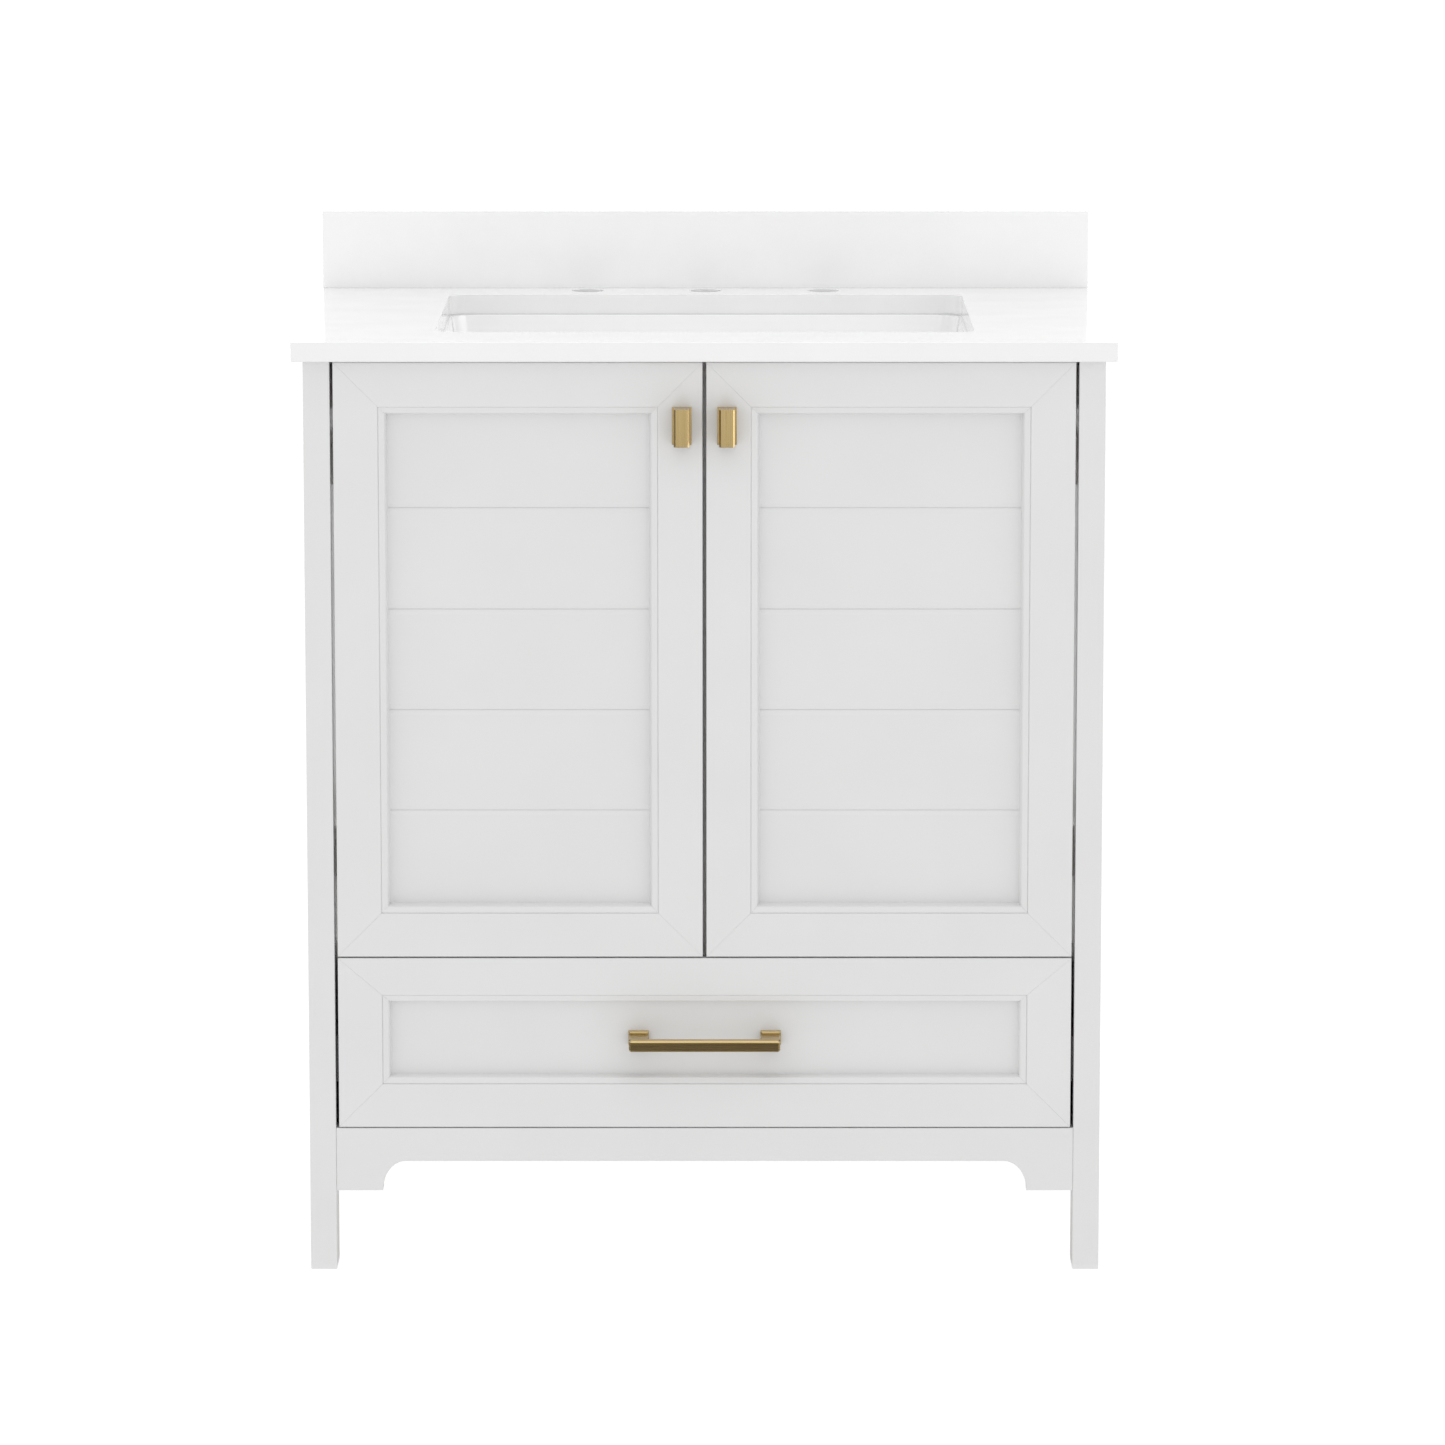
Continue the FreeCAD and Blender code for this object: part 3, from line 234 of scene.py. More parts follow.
print("making materials")
quarter = math.radians(90)
finishes = {
    "uprightPaint": paintMaterial("satinLacquerUpright"),
    "levelPaint": paintMaterial("satinLacquerLevel", (0, quarter, 0)),
    # the top and the upstand are one quartz. The upstand's copy is painted brighter than the top's:
    # painted light that sets how light the upstand looks, not a different stone
    "stone": stoneMaterial("polishedQuartz", "#f0f0f0", "#f2f2f2"),
    "upstandStonePaintedLight": stoneMaterial("polishedQuartzUpstandPaintedLight", "#f7f7f7", "#f9f9f9"),
    "glaze": glazeMaterial(),
    "brassUpright": brassMaterial("brushedBrassUpright", "z"),
    "brassLevel": brassMaterial("brushedBrassLevel", "x"),
    "zinc": platedMaterial("zincPlatedSteel", "#c3c6c8", "#cdd0d1", 0.36, 40),
    "nickel": platedMaterial("nickelPlatedSteel", "#c3c1bb", "#dcdad5", 0.26, 30),
    "laminate": laminateMaterial(),
    "beech": beechMaterial(),
    "silicone": rubberMaterial("whiteSilicone", "#e6e6e6", "#e9e9e9", 0.5),
    "softPad": rubberMaterial("clearSoftPad", "#d6dadb", "#e4e7e8", 0.35),
}
slotFinish = {"white_paint": "uprightPaint", "interior_board": "laminate", "stone_top": "stone",
              "basin_glaze": "glaze", "brass": "brassLevel", "zinc_steel": "zinc", "nickel": "nickel",
              "clear_bumper": "softPad", "silicone": "silicone", "beech": "beech"}

for sub in frame["record"]["subparts"]:
    cadMesh = nodes[sub["node"]].data
    cadMesh.materials.clear()
    cadMesh.materials.append(finishes[slotFinish[sub["material_slot"]]])

# modelling helpers

def addBlock(bm, low, high):
    # a cube stretched between two corners, returned as its vertices
    low, high = Vector(low), Vector(high)
    made = bmesh.ops.create_cube(bm, size=1.0)["verts"]
    size = high - low
    bmesh.ops.scale(bm, vec=size, verts=made)
    bmesh.ops.translate(bm, vec=(low + high) / 2, verts=made)
    return made


def bevelEdges(bm, edges, width, segments=3):
    # an edge named twice counts once, and the order stays the same from run to run
    return bmesh.ops.bevel(bm, geom=list(dict.fromkeys(edges)), offset=width, offset_type="OFFSET",
                           affect="EDGES", segments=segments, profile=0.5, material=-1,
                           clamp_overlap=True)


def edgesAlong(bm, axis, where=lambda middle: True):
    found = []
    for edge in bm.edges:
        run = (edge.verts[1].co - edge.verts[0].co).normalized()
        middle = (edge.verts[0].co + edge.verts[1].co) / 2
        if abs(run["xyz".index(axis)]) > 0.999 and where(middle):
            found.append(edge)
    return found


def sharpEdges(bm, degrees=30):
    return [e for e in bm.edges if len(e.link_faces) == 2
            and e.calc_face_angle(0) > math.radians(degrees)]


def shadeSmooth(piece, sharpFrom=40, weighted=True):
    for face in piece.data.polygons:
        face.use_smooth = True
    piece.data.set_sharp_from_angle(angle=math.radians(sharpFrom))
    if weighted:
        piece.modifiers.new("evenShading", "WEIGHTED_NORMAL").keep_sharp = True


def finishPiece(bm, name, body, material, stands=(), weighted=True):
    # closes off a bmesh as a piece of the object
    bmesh.ops.remove_doubles(bm, verts=bm.verts, dist=1e-6)
    bmesh.ops.recalc_face_normals(bm, faces=bm.faces)
    mesh = bpy.data.meshes.new(name)
    bm.to_mesh(mesh)
    bm.free()
    mesh.materials.append(finishes[material])
    piece = bpy.data.objects.new(name, mesh)
    collection.objects.link(piece)
    shadeSmooth(piece, weighted=weighted)
    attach(piece, body)
    if stands:
        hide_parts(*stands)
    return piece


def combineWith(piece, others, operation):
    # booleans, applied, then the other objects are removed
    for other in others:
        step = piece.modifiers.new("combine", "BOOLEAN")
        step.operation = operation
        step.solver = "EXACT"
        step.object = other
    bpy.context.view_layer.update()
    graph = bpy.context.evaluated_depsgraph_get()
    result = bpy.data.meshes.new_from_object(piece.evaluated_get(graph))
    piece.modifiers.clear()
    piece.data = result
    for other in others:
        bpy.data.objects.remove(other)


def looseObject(bm, name):
    bmesh.ops.recalc_face_normals(bm, faces=bm.faces)
    mesh = bpy.data.meshes.new(name)
    bm.to_mesh(mesh)
    bm.free()
    made = bpy.data.objects.new(name, mesh)
    collection.objects.link(made)
    return made


def rodObject(name, centre, radius, length, segments=64):
    # an upright cylinder
    bm = bmesh.new()
    bmesh.ops.create_cone(bm, cap_ends=True, segments=segments, radius1=radius, radius2=radius,
                          depth=length)
    bmesh.ops.translate(bm, vec=centre, verts=bm.verts)
    return looseObject(bm, name)

# cabinet

def makeEasedBlock(node, name, edge, segments, material):
    # a square board or post with a small round on every edge
    bm = bmesh.new()
    addBlock(bm, *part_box(node))
    bevelEdges(bm, bm.edges, edge, segments)
    finishPiece(bm, name, "cabinet", material, [node])


leg = {"edge": 1.2 * mm}

def makeLegs():
    for row in ("front", "rear"):
        for hand in ("left", "right"):
            makeEasedBlock(f"leg_{row}_{hand}", f"leg.{row}.{hand}", leg["edge"], 3, "uprightPaint")


sidePanel = {"edge": 0.5 * mm}

def makeSides():
    for hand in ("left", "right"):
        makeEasedBlock(f"side_panel_{hand}", f"sidePanel.{hand}", sidePanel["edge"], 2,
                       "uprightPaint")


apron = {"foot": 45 * mm, "archRun": 22 * mm, "archRise": 29 * mm, "edge": 1.0 * mm, "steps": 14}

def makeApron():
    # outline in the front plane, arch ends are quarter ellipses
    low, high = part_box("apron")
    spring = high.x - apron["foot"]
    flat = spring - apron["archRun"]
    halfOutline = [Vector((high.x, low.y, high.z)), Vector((high.x, low.y, low.z))]
    for step in range(apron["steps"] + 1):
        turn = quarter * step / apron["steps"]
        halfOutline.append(Vector((flat + apron["archRun"] * math.cos(turn), low.y,
                                   low.z + apron["archRise"] * math.sin(turn))))
    bm = bmesh.new()
    right = [bm.verts.new(p) for p in halfOutline]
    left = [bm.verts.new((-p.x, p.y, p.z)) for p in reversed(halfOutline)]
    face = bm.faces.new(right + left)
    pushed = bmesh.ops.extrude_face_region(bm, geom=[face])["geom"]
    bmesh.ops.translate(bm, vec=(0, high.y - low.y, 0),
                        verts=[v for v in pushed if isinstance(v, bmesh.types.BMVert)])
    bmesh.ops.recalc_face_normals(bm, faces=bm.faces)
    rim = [e for e in bm.edges if all(abs(v.co.y - low.y) < 1e-6 for v in e.verts)]
    bevelEdges(bm, rim, apron["edge"], 3)
    finishPiece(bm, "apron", "cabinet", "levelPaint", ["apron"])


# inner boards: the plain ones are made as blocks, those with notches or bores from their CAD mesh
boards = {"edge": 0.4 * mm, "shortest": 9 * mm, "cornerTurn": 60,
          "plain": {"back_rail_lower": "rearRailLower", "back_panel": "backPanel",
                    "bottom_panel": "bottomPanel"},
          "notched": ["compartment_floor", "top_rail_front", "top_rail_back", "corner_blocks",
                      "center_stile", "drawer_side_left", "drawer_side_right", "drawer_box_front",
                      "drawer_box_back", "drawer_bottom"]}

def makeBoards():
    for node, name in boards["plain"].items():
        makeEasedBlock(node, name, boards["edge"], 2, "laminate")


def softenBoard(node):
    # the board as built, its long square edges eased
    bm = bmesh.new()
    bm.from_mesh(nodes[node].data)
    bmesh.ops.remove_doubles(bm, verts=bm.verts, dist=1e-6)
    bmesh.ops.dissolve_limit(bm, angle_limit=math.radians(0.5), verts=bm.verts, edges=bm.edges)
    square = [e for e in sharpEdges(bm, boards["cornerTurn"])
              if e.is_convex and e.calc_length() > boards["shortest"]]
    bevelEdges(bm, square, boards["edge"], 2)
    body = next(name for name, held in frame["record"]["behaviour"]["bodies"].items() if node in held)
    slot = next(sub["material_slot"] for sub in frame["record"]["subparts"] if sub["node"] == node)
    first, *rest = node.split("_")
    name = first + "".join(word.title() for word in rest)
    finishPiece(bm, name, body, slotFinish[slot], [node])

# stone top

stone = {"edge": 1.2 * mm, "cutout": Vector((521, 372)) * mm, "corner": 18 * mm,
         "frontMargin": 95 * mm, "arris": 0.4 * mm, "cutPast": 10 * mm,
         "holeRadius": 16 * mm, "holeSpacing": 120.5 * mm, "holeSetback": 48 * mm}

def cutoutCentreY():
    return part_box("countertop")[0].y + stone["frontMargin"] + stone["cutout"].y / 2


def roundedCutter(name, centre, size, corner, low, high, segments=10):
    bm = bmesh.new()
    half = Vector((size.x / 2, size.y / 2))
    addBlock(bm, (centre.x - half.x, centre.y - half.y, low),
             (centre.x + half.x, centre.y + half.y, high))
    bevelEdges(bm, edgesAlong(bm, "z"), corner, segments)
    return looseObject(bm, name)


def makeStoneTop():
    low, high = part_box("countertop")
    bm = bmesh.new()
    addBlock(bm, low, high)
    top = finishPiece(bm, "stoneTop", "cabinet", "stone", ["countertop"], weighted=False)
    middle = Vector((0, cutoutCentreY()))
    cutters = [roundedCutter("cutout", middle, stone["cutout"], stone["corner"],
                             low.z - stone["cutPast"], high.z + stone["cutPast"])]
    for k in (-1, 0, 1):
        at = (k * stone["holeSpacing"], high.y - stone["holeSetback"], (low.z + high.z) / 2)
        cutters.append(rodObject("faucetHole", at, stone["holeRadius"],
                                 high.z - low.z + 2 * stone["cutPast"]))
    combineWith(top, cutters, "DIFFERENCE")
    bm = bmesh.new()
    bm.from_mesh(top.data)
    bmesh.ops.dissolve_limit(bm, angle_limit=math.radians(0.5), verts=bm.verts, edges=bm.edges)

    def onRim(edge):
        inside = all(abs(v.co.x) < high.x - 1e-4 and low.y + 1e-4 < v.co.y < high.y - 1e-4
                     for v in edge.verts)
        level = all(abs(v.co.z - high.z) < 1e-6 for v in edge.verts)
        return inside and level and edge.calc_face_angle(0) > 0.5

    outer = [e for e in sharpEdges(bm, 60)
             if all(abs(abs(v.co.x) - high.x) < 1e-5 or abs(v.co.y - low.y) < 1e-5
                    or abs(v.co.y - high.y) < 1e-5 for v in e.verts)]
    bevelEdges(bm, [e for e in bm.edges if onRim(e)], stone["arris"], 2)
    outer = [e for e in outer if e.is_valid]
    bevelEdges(bm, outer, stone["edge"], 4)
    bm.to_mesh(top.data)
    bm.free()
    shadeSmooth(top)


upstand = {"edge": 1.5 * mm, "bead": 0.6 * mm, "beadMargin": 2 * mm, "beadRound": 0.9}

def makeUpstand():
    low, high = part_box("backsplash")
    bm = bmesh.new()
    addBlock(bm, low, high)
    bevelEdges(bm, [e for e in bm.edges
                    if not all(abs(v.co.z - low.z) < 1e-6 for v in e.verts)], upstand["edge"], 4)
    # the upstand takes the quartz copy painted brighter, which is painted light
    finishPiece(bm, "upstand", "cabinet", "upstandStonePaintedLight", ["backsplash"])
    # a wiped line of silicone along the joint with the top
    width, margin = upstand["bead"], upstand["beadMargin"]
    bm = bmesh.new()
    addBlock(bm, (low.x + margin, low.y - width, low.z),
             (high.x - margin, low.y + width, low.z + width))
    inFrontAbove = edgesAlong(bm, "x", lambda middle: middle.y < low.y and middle.z > low.z)
    bevelEdges(bm, inFrontAbove, width * upstand["beadRound"], 4)
    finishPiece(bm, "upstandBead", "cabinet", "silicone")

# basin

basin = {"reveal": 2.5 * mm, "corner": 30 * mm, "depth": 150 * mm, "wall": 9 * mm, "draft": 22 * mm,
         "floorRound": 24 * mm, "flange": 25 * mm, "flangeThickness": 12 * mm, "drain": 22.5 * mm,
         "slotWidth": 34 * mm, "slotHeight": 9 * mm, "slotDrop": 32 * mm, "outerDrop": 0.5 * mm,
         "cutAbove": 5 * mm, "flangeEdge": 2.5 * mm, "boss": 34 * mm,
         "drainEdge": 1.2 * mm, "drainCut": 120 * mm}
# the overflow's passage in front of the bowl
duct = {"wall": 7 * mm, "front": 18.5 * mm, "footGap": 2 * mm, "backFromCentre": 10 * mm,
        "aboveSlot": 11 * mm, "edge": 5 * mm, "slotRun": 40 * mm, "slotLip": 0.1 * mm}

def bowlMesh(grow, rim, floor, corner, floorRound, draft, segments):
    # a drafted box, round at its upright corners and around its floor
    bm = bmesh.new()
    half = stone["cutout"] / 2 - Vector((basin["reveal"], basin["reveal"])) + Vector((grow, grow))
    centre = cutoutCentreY()
    addBlock(bm, (-half.x, centre - half.y, floor), (half.x, centre + half.y, rim))
    lowest = [v for v in bm.verts if abs(v.co.z - floor) < 1e-6]
    squeeze = Vector(((half.x - draft) / half.x, (half.y - draft) / half.y, 1))
    bmesh.ops.scale(bm, vec=squeeze, space=Matrix.Translation((0, -centre, 0)), verts=lowest)
    upright = [e for e in bm.edges if abs(e.verts[0].co.z - e.verts[1].co.z) > 0.01]
    bevelEdges(bm, upright, corner, segments)
    floorEdges = [e for f in bm.faces if all(abs(v.co.z - floor) < 1e-6 for v in f.verts)
                  for e in f.edges]
    bevelEdges(bm, floorEdges, floorRound, segments)
    return bm


def makeBasin():
    # inner bowl and outer shell are one solid: the outer form minus the bowl, drain and overflow
    low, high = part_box("sink_basin")
    rim = high.z
    centre = cutoutCentreY()
    floor = rim - basin["depth"]
    outer = looseObject(bowlMesh(basin["wall"], rim - basin["outerDrop"], floor - basin["wall"],
                                 basin["corner"] + basin["wall"], basin["floorRound"] + basin["wall"],
                                 basin["draft"], 8), "outerBowl")
    steeper = basin["draft"] * (basin["depth"] + basin["cutAbove"]) / basin["depth"]
    inner = looseObject(bowlMesh(0, rim + basin["cutAbove"], floor, basin["corner"],
                                 basin["floorRound"], steeper, 12), "innerBowl")
    bm = bmesh.new()
    addBlock(bm, (low.x, low.y, rim - basin["flangeThickness"]), (high.x, high.y, rim))
    bevelEdges(bm, edgesAlong(bm, "z"), stone["corner"] + basin["flange"], 8)
    bevelEdges(bm, sharpEdges(bm, 60), basin["flangeEdge"], 3)
    shell = finishPiece(bm, "basin", "cabinet", "glaze", ["sink_basin"], weighted=False)
    boss = rodObject("boss", (0, centre, (low.z + floor) / 2), basin["boss"], floor - low.z)
    ductWide = basin["slotWidth"] / 2 + duct["wall"]
    ductFront = low.y + basin["flange"] - duct["front"]
    slotZ = rim - basin["slotDrop"]
    bm = bmesh.new()
    addBlock(bm, (-ductWide, ductFront, low.z + duct["footGap"]),
             (ductWide, centre - duct["backFromCentre"], slotZ + duct["aboveSlot"]))
    bevelEdges(bm, bm.edges, duct["edge"], 4)
    passage = looseObject(bm, "passage")
    combineWith(shell, (outer, boss, passage), "UNION")
    slotHalf = Vector((basin["slotWidth"], basin["slotHeight"])) / 2
    slotFront = ductFront + duct["wall"]
    bm = bmesh.new()
    addBlock(bm, (-slotHalf.x, slotFront, slotZ - slotHalf.y),
             (slotHalf.x, slotFront + duct["slotRun"], slotZ + slotHalf.y))
    bevelEdges(bm, edgesAlong(bm, "y"), slotHalf.y - duct["slotLip"], 6)
    slot = looseObject(bm, "slot")
    drain = rodObject("drain", (0, centre, low.z), basin["drain"], basin["drainCut"])
    combineWith(shell, (inner, slot, drain), "DIFFERENCE")
    bm = bmesh.new()
    bm.from_mesh(shell.data)
    bmesh.ops.remove_doubles(bm, verts=bm.verts, dist=2e-5)
    bmesh.ops.dissolve_limit(bm, angle_limit=math.radians(0.3), verts=bm.verts, edges=bm.edges)

    def nearHole(edge):
        ring = all(abs((v.co - Vector((0, centre, v.co.z))).length - basin["drain"]) < 1e-4
                   and abs(v.co.z - floor) < 1e-4 for v in edge.verts)
        return ring and len(edge.link_faces) == 2

    bevelEdges(bm, [e for e in bm.edges if nearHole(e)], basin["drainEdge"], 3)
    bm.to_mesh(shell.data)
    bm.free()
    shell.data.materials.clear()
    shell.data.materials.append(finishes["glaze"])
    shadeSmooth(shell, sharpFrom=35)


bead = {"recess": 0.3 * mm, "width": 6 * mm}

def makeBasinBead():
    # the silicone between stone and basin, tooled almost flush with the cut-out's wall
    low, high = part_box("sink_sealant")
    half = stone["cutout"] / 2 + Vector((bead["recess"], bead["recess"]))
    centre = cutoutCentreY()
    bm = bmesh.new()
    addBlock(bm, (-half.x, centre - half.y, low.z), (half.x, centre + half.y, high.z))
    bevelEdges(bm, edgesAlong(bm, "z"), stone["corner"], 10)
    ends = [f for f in bm.faces if abs(f.normal.z) > 0.9]
    bmesh.ops.delete(bm, geom=ends, context="FACES_ONLY")
    bmesh.ops.reverse_faces(bm, faces=bm.faces)
    bmesh.ops.solidify(bm, geom=bm.faces, thickness=bead["width"])
    finishPiece(bm, "basinBead", "cabinet", "silicone", ["sink_sealant"])

# doors and drawer front

moulding = {"flat": 42.5 * mm, "drawerTopFlat": 36.2 * mm, "width": 9 * mm, "quirk": 0.5 * mm,
            "quirkDepth": 1.3 * mm, "topStep": 0.1 * mm, "lipEase": 0.3 * mm, "lipDraft": 0.05 * mm,
            "band": 5.6 * mm, "bandStart": 0.8 * mm, "bandEnd": 2.4 * mm,
            "depth": 16 * mm, "thickness": 20 * mm, "edge": 1.0 * mm, "mitreEdge": 0.25 * mm,
            "mitreGap": 0.03 * mm, "cornerMargin": 1.5 * mm, "shortestMitre": 2 * mm}

# how the cove falls away after the band, as (across, back) in mm
coveFall = ((0.7, 0.5), (1.2, 1.6), (1.6, 3.6), (2.2, 7.5))

def memberSection(side, flat):
    # (across, back) points of a frame member, across grows towards the panel: the flat face, a fine
    # groove, a nearly flat band and a steep cove down to the panel. The top rail has a step instead
    # of the groove.
    groove, band = moulding["quirk"], moulding["band"]
    start, end = moulding["bandStart"], moulding["bandEnd"]
    deep = start + moulding["topStep"] if side == "top" else moulding["quirkDepth"]
    ease, draft = moulding["lipEase"], moulding["lipDraft"]
    lip = [(-flat, 0), (-ease, 0), (-draft, ease - draft), (0, deep), (groove, deep),
           (groove + draft, start + ease), (groove + draft + ease, start), (band, end)]
    cove = [(band + across * mm, end + back * mm) for across, back in coveFall]
    rear = [(moulding["width"], moulding["depth"]), (0, moulding["depth"]),
            (0, moulding["thickness"]), (-flat, moulding["thickness"])]
    return lip + cove + rear


def makeMember(side, low, high, flats, name, body, node):
    # side is where the member lies in the frame between the corners low and high
    flat = flats[side]
    front = low.y
    bm = bmesh.new()
    upright = side in ("left", "right")
    sign = 1 if side in ("left", "bottom") else -1
    across = {"left": low.x, "right": high.x, "bottom": low.z, "top": high.z}[side]
    points = []
    for u, v in memberSection(side, flat):
        place = across + sign * (flat + u)
        points.append((place, front + v, low.z) if upright else (low.x, front + v, place))
    section = bm.faces.new([bm.verts.new(p) for p in points])
    run = Vector((0, 0, high.z - low.z)) if upright else Vector((high.x - low.x, 0, 0))
    pushed = bmesh.ops.extrude_face_region(bm, geom=[section])["geom"]
    bmesh.ops.translate(bm, vec=run, verts=[v for v in pushed if isinstance(v, bmesh.types.BMVert)])
    bmesh.ops.recalc_face_normals(bm, faces=bm.faces)
    outerEdge = [e for e in bm.edges
                 if all(abs((v.co.x if upright else v.co.z) - across) < 1e-6
                        and abs(v.co.y - front) < 1e-6 for v in e.verts)]
    bevelEdges(bm, outerEdge, moulding["edge"], 4)
    for end in ("bottom", "top") if upright else ("left", "right"):
        # the mitre plane holds the outer corner and the moulding line's corner
        corner = Vector((low.x if (end if not upright else side) == "left" else high.x, 0,
                         low.z if (end if upright else side) == "bottom" else high.z))
        column = side if upright else end
        row = end if upright else side
        inward = Vector((flats[column] * (1 if column == "left" else -1), 0,
                         flats[row] * (1 if row == "bottom" else -1)))
        normal = inward.normalized().cross(Vector((0, 1, 0)))
        middle = Vector(((low.x + high.x) / 2, 0, across)) if not upright else \
            Vector((across, 0, (low.z + high.z) / 2))
        if (middle - corner).dot(normal) > 0:
            normal.negate()
        corner -= normal * moulding["mitreGap"]
        geometry = list(bm.verts) + list(bm.edges) + list(bm.faces)
        bmesh.ops.bisect_plane(bm, geom=geometry, plane_co=corner, plane_no=normal, clear_outer=True,
                               dist=1e-7)
        caps = bmesh.ops.holes_fill(bm, edges=[e for e in bm.edges if e.is_boundary], sides=0)["faces"]
        frontEdges = [e for f in caps for e in f.edges
                      if all(v.co.y < front + 1e-5 for v in e.verts)
                      and e.calc_length() > moulding["shortestMitre"]
                      and max(abs((v.co.x if upright else v.co.z) - across) for v in e.verts)
                      > moulding["cornerMargin"]]
        bevelEdges(bm, frontEdges, moulding["mitreEdge"], 2)
    finishPiece(bm, name, body, "uprightPaint" if upright else "levelPaint", [node])


def makeFrames():
    for hand in ("left", "right"):
        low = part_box(f"door_{hand}_rail_bottom")[0]
        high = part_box(f"door_{hand}_rail_top")[1]
        flats = {key: moulding["flat"] for key in ("left", "right", "bottom", "top")}
        hinge, meeting = ("left", "right") if hand == "left" else ("right", "left")
        for side, node in ((hinge, "stile_hinge"), (meeting, "stile_meeting"), ("top", "rail_top"),
                           ("bottom", "rail_bottom")):
            makeMember(side, low, high, flats, f"door.{hand}.{side}", f"{hand}_door",
                       f"door_{hand}_{node}")
    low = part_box("drawer_front_rail_bottom")[0]
    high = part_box("drawer_front_rail_top")[1]
    flats = {"left": moulding["flat"], "right": moulding["flat"], "bottom": moulding["flat"],
             "top": moulding["drawerTopFlat"]}
    for side, node in (("left", "stile_left"), ("right", "stile_right"), ("top", "rail_top"),
                       ("bottom", "rail_bottom")):
        makeMember(side, low, high, flats, f"drawerFront.{side}", "drawer", f"drawer_front_{node}")


planks = {"count": 5, "faceRecess": 13.2 * mm, "easeRun": 5.5 * mm, "easeFall": 1.3 * mm, "steps": 7,
          "jointHalf": 0.12 * mm, "jointDepth": 0.7 * mm, "reach": 6 * mm, "tongueThickness": 3.9 * mm,
          "backEdge": 0.4 * mm, "spacingPower": 1.4}

def boardProfile(bottom, top, front, back):
    # (z, y) outline of one board: a flat face whose long edges fall away in a soft curve
    face = front + planks["faceRecess"]
    rising = []
    for step in range(planks["steps"] + 1):
        share = (step / planks["steps"]) ** planks["spacingPower"]
        rising.append((planks["jointHalf"] + share * planks["easeRun"],
                       face + planks["easeFall"] * (1 - share) ** 2))
    joint = face + planks["easeFall"] + planks["jointDepth"]
    lower = [(bottom, back), (bottom, joint)] + [(bottom + z, y) for z, y in rising]
    upper = [(top - z, y) for z, y in reversed(rising)] + [(top, joint), (top, back)]
    return lower + upper


def makePlanks():
    for hand in ("left", "right"):
        low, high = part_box(f"door_{hand}_planks")
        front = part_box(f"door_{hand}_rail_top")[0].y
        pitch = (high.z - low.z) / planks["count"]
        left, right = low.x + planks["reach"], high.x - planks["reach"]
        bm = bmesh.new()
        for board in range(planks["count"]):
            bottom = low.z + board * pitch
            middleDepth = high.y - planks["tongueThickness"] / 2
            outline = boardProfile(bottom, bottom + pitch, front, middleDepth)
            section = bm.faces.new([bm.verts.new((left, y, z)) for z, y in outline])
            pushed = bmesh.ops.extrude_face_region(bm, geom=[section])["geom"]
            bmesh.ops.translate(bm, vec=(right - left, 0, 0),
                                verts=[v for v in pushed if isinstance(v, bmesh.types.BMVert)])
            # the thinner back of the board runs on behind the moulding
            slab = addBlock(bm, (low.x, high.y - planks["tongueThickness"], bottom),
                            (high.x, high.y, bottom + pitch))
            rear = [e for v in slab for e in v.link_edges
                    if all(abs(w.co.y - high.y) < 1e-6 for w in e.verts)]
            bevelEdges(bm, rear, planks["backEdge"], 2)
        finishPiece(bm, f"planks.{hand}", f"{hand}_door", "levelPaint",
                    [f"door_{hand}_planks"])


drawerPanel = {"reach": 6 * mm, "field": 6 * mm, "tongueThickness": 3.9 * mm, "edge": 0.4 * mm}

def makeDrawerPanel():
    low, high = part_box("drawer_front_panel")
    bm = bmesh.new()
    reach = drawerPanel["reach"]
    addBlock(bm, (low.x + reach, low.y, low.z + reach),
             (high.x - reach, low.y + drawerPanel["field"], high.z - reach))
    addBlock(bm, (low.x, high.y - drawerPanel["tongueThickness"], low.z), high)
    bevelEdges(bm, bm.edges, drawerPanel["edge"], 2)
    finishPiece(bm, "drawerPanel", "drawer", "levelPaint", ["drawer_front_panel"])

# handles

knob = {"plateDepth": 5 * mm, "plateEdge": 0.4 * mm, "faceWidth": 15 * mm, "chamfer": 1.7 * mm,
        "tenon": 1 * mm}
handleEase = 0.2 * mm     # the hand-rubbed edge of every chamfer

def inFront(edge, y):
    return all(v.co.y < y - 1e-4 for v in edge.verts)


def makeKnobs():
    for hand in ("left", "right"):
        low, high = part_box(f"knob_{hand}")
        middle = (low.x + high.x) / 2
        half = knob["faceWidth"] / 2
        plateFront = high.y - knob["plateDepth"]
        bm = bmesh.new()
        addBlock(bm, (low.x, plateFront, low.z), high)
        bevelEdges(bm, [e for e in bm.edges if inFront(e, high.y)], knob["plateEdge"], 2)
        finishPiece(bm, f"knobPlate.{hand}", f"{hand}_door", "brassUpright")
        bm = bmesh.new()
        addBlock(bm, (middle - half, low.y, low.z), (middle + half, plateFront + knob["tenon"], high.z))
        bevelEdges(bm, edgesAlong(bm, "z", lambda at: at.y < plateFront), knob["chamfer"], 1)
        bevelEdges(bm, [e for e in sharpEdges(bm) if inFront(e, plateFront)], handleEase, 2)
        finishPiece(bm, f"knobBlock.{hand}", f"{hand}_door", "brassUpright", [f"knob_{hand}"])


pull = {"spacing": 128 * mm, "length": 146 * mm, "height": 11 * mm, "depth": 12 * mm,
        "plateWidth": 19.7 * mm, "plateHeight": 13.8 * mm, "plateDepth": 5 * mm, "chamfer": 1.8 * mm,
        "armWidth": 18 * mm, "armInset": 0.15 * mm, "armEdge": 1.3 * mm, "tenon": 2 * mm}

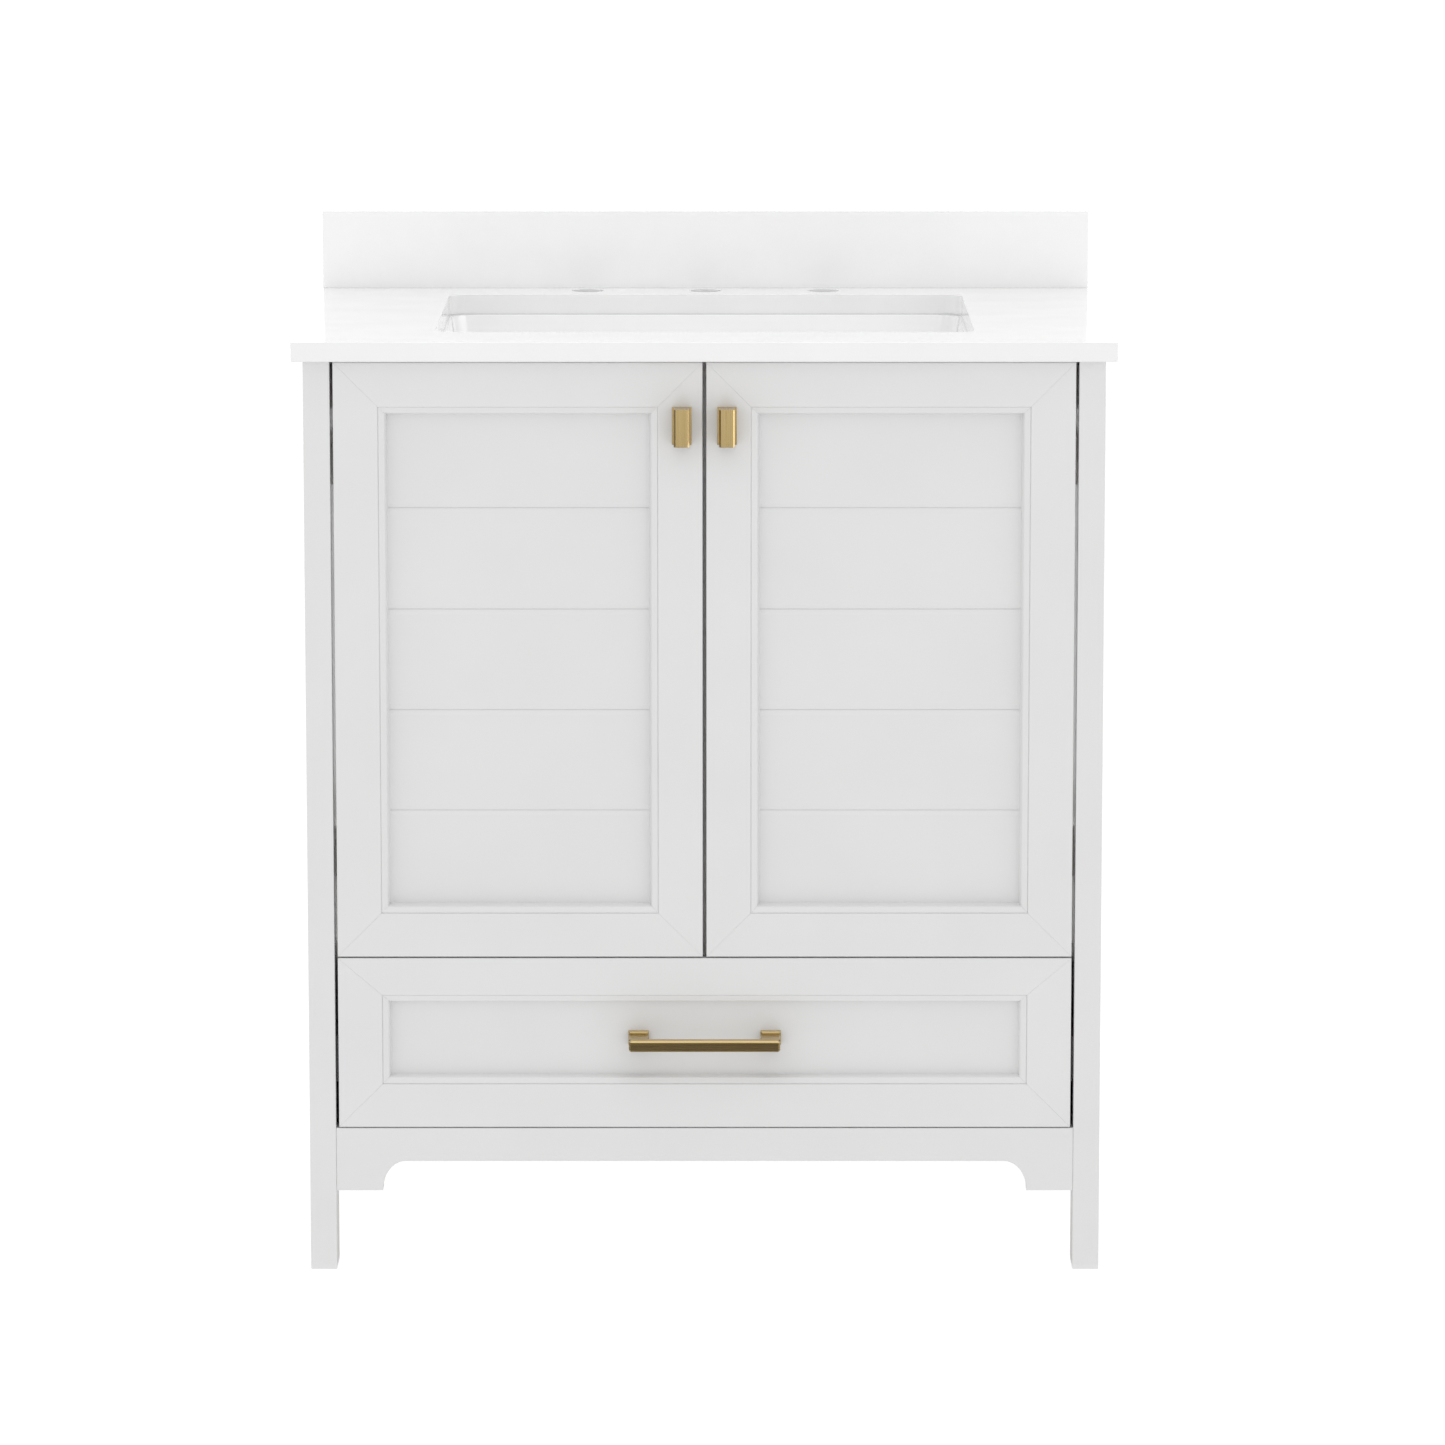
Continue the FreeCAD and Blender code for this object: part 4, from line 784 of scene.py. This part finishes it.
def makePull():
    low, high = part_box("drawer_pull")
    bm = bmesh.new()
    half = pull["length"] / 2
    barBack = low.y + pull["depth"]
    addBlock(bm, (-half, low.y, low.z), (half, barBack, low.z + pull["height"]))
    bevelEdges(bm, bm.edges, pull["chamfer"], 1)
    bevelEdges(bm, sharpEdges(bm), handleEase, 2)
    finishPiece(bm, "pullBar", "drawer", "brassLevel", ["drawer_pull"])
    for hand, x in (("left", -pull["spacing"] / 2), ("right", pull["spacing"] / 2)):
        arm, inset = pull["armWidth"] / 2, pull["armInset"]
        plateFront = high.y - pull["plateDepth"]
        bm = bmesh.new()
        addBlock(bm, (x - arm, barBack - 2 * pull["chamfer"], low.z + inset),
                 (x + arm, plateFront + pull["tenon"], low.z + pull["height"] - inset))
        bevelEdges(bm, edgesAlong(bm, "y"), pull["armEdge"], 3)
        finishPiece(bm, f"pullArm.{hand}", "drawer", "brassLevel")
        bm = bmesh.new()
        wide = pull["plateWidth"] / 2
        addBlock(bm, (x - wide, plateFront, low.z), (x + wide, high.y, low.z + pull["plateHeight"]))
        bevelEdges(bm, [e for e in bm.edges if inFront(e, high.y)], pull["chamfer"], 1)
        bevelEdges(bm, [e for e in sharpEdges(bm) if inFront(e, high.y)], handleEase, 2)
        finishPiece(bm, f"pullPlate.{hand}", "drawer", "brassLevel")

# room, lights, camera

studio = {"floor": ("#8c8c8c", "#909090"), "floorHalf": 40, "floorGlow": 0.82, "world": 0.9,
          "sideWatts": 30, "sideSize": 2.4, "sidePlace": (2.6, 0.3, 1.2),
          "topWatts": 19, "topSize": 2.6, "topPlace": (0, 0.2, 3.4)}
# name: corners in metres, felt colours, glow
cards = {"floorCard": ([(-2.2, -3.2, 0.004), (2.2, -3.2, 0.004), (2.2, 0.1, 0.004), (-2.2, 0.1, 0.004)],
                       ("#625d58", "#6a6560"), 0.0),
         "lowCard": ([(-1.8, -1.7, 0.01), (1.8, -1.7, 0.01), (1.8, -1.7, 0.5), (-1.8, -1.7, 0.5)],
                     ("#625d58", "#6a6560"), 0.0),
         "leftCard": ([(-2.3, -2.0, 0.01), (-2.3, 0.6, 0.01), (-2.3, 0.6, 1.7), (-2.3, -2.0, 1.7)],
                      ("#201e1c", "#282624"), 0.0),
         "whiteCard": ([(-4, 5, 0.9), (4, 5, 0.9), (4, 5, 3.5), (-4, 5, 3.5)],
                       ("#f8f8f8", "#fbfbfb"), 0.7)}

def addSoftbox(name, place, turn, size, watts):
    data = bpy.data.lights.new(name, "AREA")
    data.shape = "SQUARE"
    data.size = size
    data.energy = watts
    lamp = bpy.data.objects.new(name, data)
    lamp.location = place
    lamp.rotation_euler = turn
    collection.objects.link(lamp)
    return lamp


def addCard(name, corners, colours, glow):
    # a studio card that only shows in shiny surfaces
    bm = bmesh.new()
    bm.faces.new([bm.verts.new(corner) for corner in corners])
    card = looseObject(bm, name)
    card.visible_camera = False
    card.visible_diffuse = False
    card.visible_shadow = False
    made, tree, shader, place = startMaterial(name + "Felt", Roughness=1.0, Emission_Strength=glow)
    shader.inputs["Emission Color"].default_value = hexColour("#ffffff")
    tree.links.new(tinted(tree, noise(tree, place, 3, 2), *colours), shader.inputs["Base Color"])
    card.data.materials.append(made)


def makeStudio():
    bm = bmesh.new()
    bmesh.ops.create_grid(bm, x_segments=2, y_segments=2, size=studio["floorHalf"])
    floor = looseObject(bm, "studioFloor")
    made, tree, shader, place = startMaterial("paleFloor", Roughness=0.9, Specular_IOR_Level=0.0,
                                              Emission_Strength=studio["floorGlow"])
    shader.inputs["Emission Color"].default_value = hexColour("#ffffff")
    tree.links.new(tinted(tree, noise(tree, place, 800, 2), *studio["floor"]),
                   shader.inputs["Base Color"])
    floor.data.materials.append(made)
    for name, (corners, colours, glow) in cards.items():
        addCard(name, corners, colours, glow)
    across, back, up = studio["sidePlace"]
    for sign in (-1, 1):
        lamp = addSoftbox("sideSoftbox", (sign * across, back, up), (0, sign * quarter, 0),
                          studio["sideSize"], studio["sideWatts"])
        lamp.visible_diffuse = False     # only for the shine
    addSoftbox("topSoftbox", studio["topPlace"], (0, 0, 0), studio["topSize"], studio["topWatts"])
    world = bpy.data.worlds.new("studioAir")
    bpy.context.scene.world = world
    world.use_nodes = True
    world.node_tree.nodes["Background"].inputs["Color"].default_value = hexColour("#ffffff")
    world.node_tree.nodes["Background"].inputs["Strength"].default_value = studio["world"]


camera = {"lens": 170.29, "sensor": 36, "place": Vector((17.3, -6743.7, 1580.6)) * mm,
          "pitch": 9.126, "farthest": 200}

def makeCamera():
    data = bpy.data.cameras.new("studioCamera")
    data.lens = camera["lens"]
    data.sensor_width = camera["sensor"]
    data.clip_end = camera["farthest"]
    eye = bpy.data.objects.new("studioCamera", data)
    eye.location = camera["place"]
    eye.rotation_euler = (quarter - math.radians(camera["pitch"]), 0, 0)
    collection.objects.link(eye)
    bpy.context.scene.camera = eye


print("making the cabinet")
makeLegs()
makeSides()
makeApron()
makeBoards()
for board in boards["notched"]:
    softenBoard(board)
print("making the stone top and basin")
makeStoneTop()
makeUpstand()
makeBasin()
makeBasinBead()
print("making the doors and drawer front")
makeFrames()
makePlanks()
makeDrawerPanel()
print("making the handles")
makeKnobs()
makePull()
print("setting the studio and camera")
makeStudio()
makeCamera()
bpy.context.scene.view_settings.view_transform = "Standard"
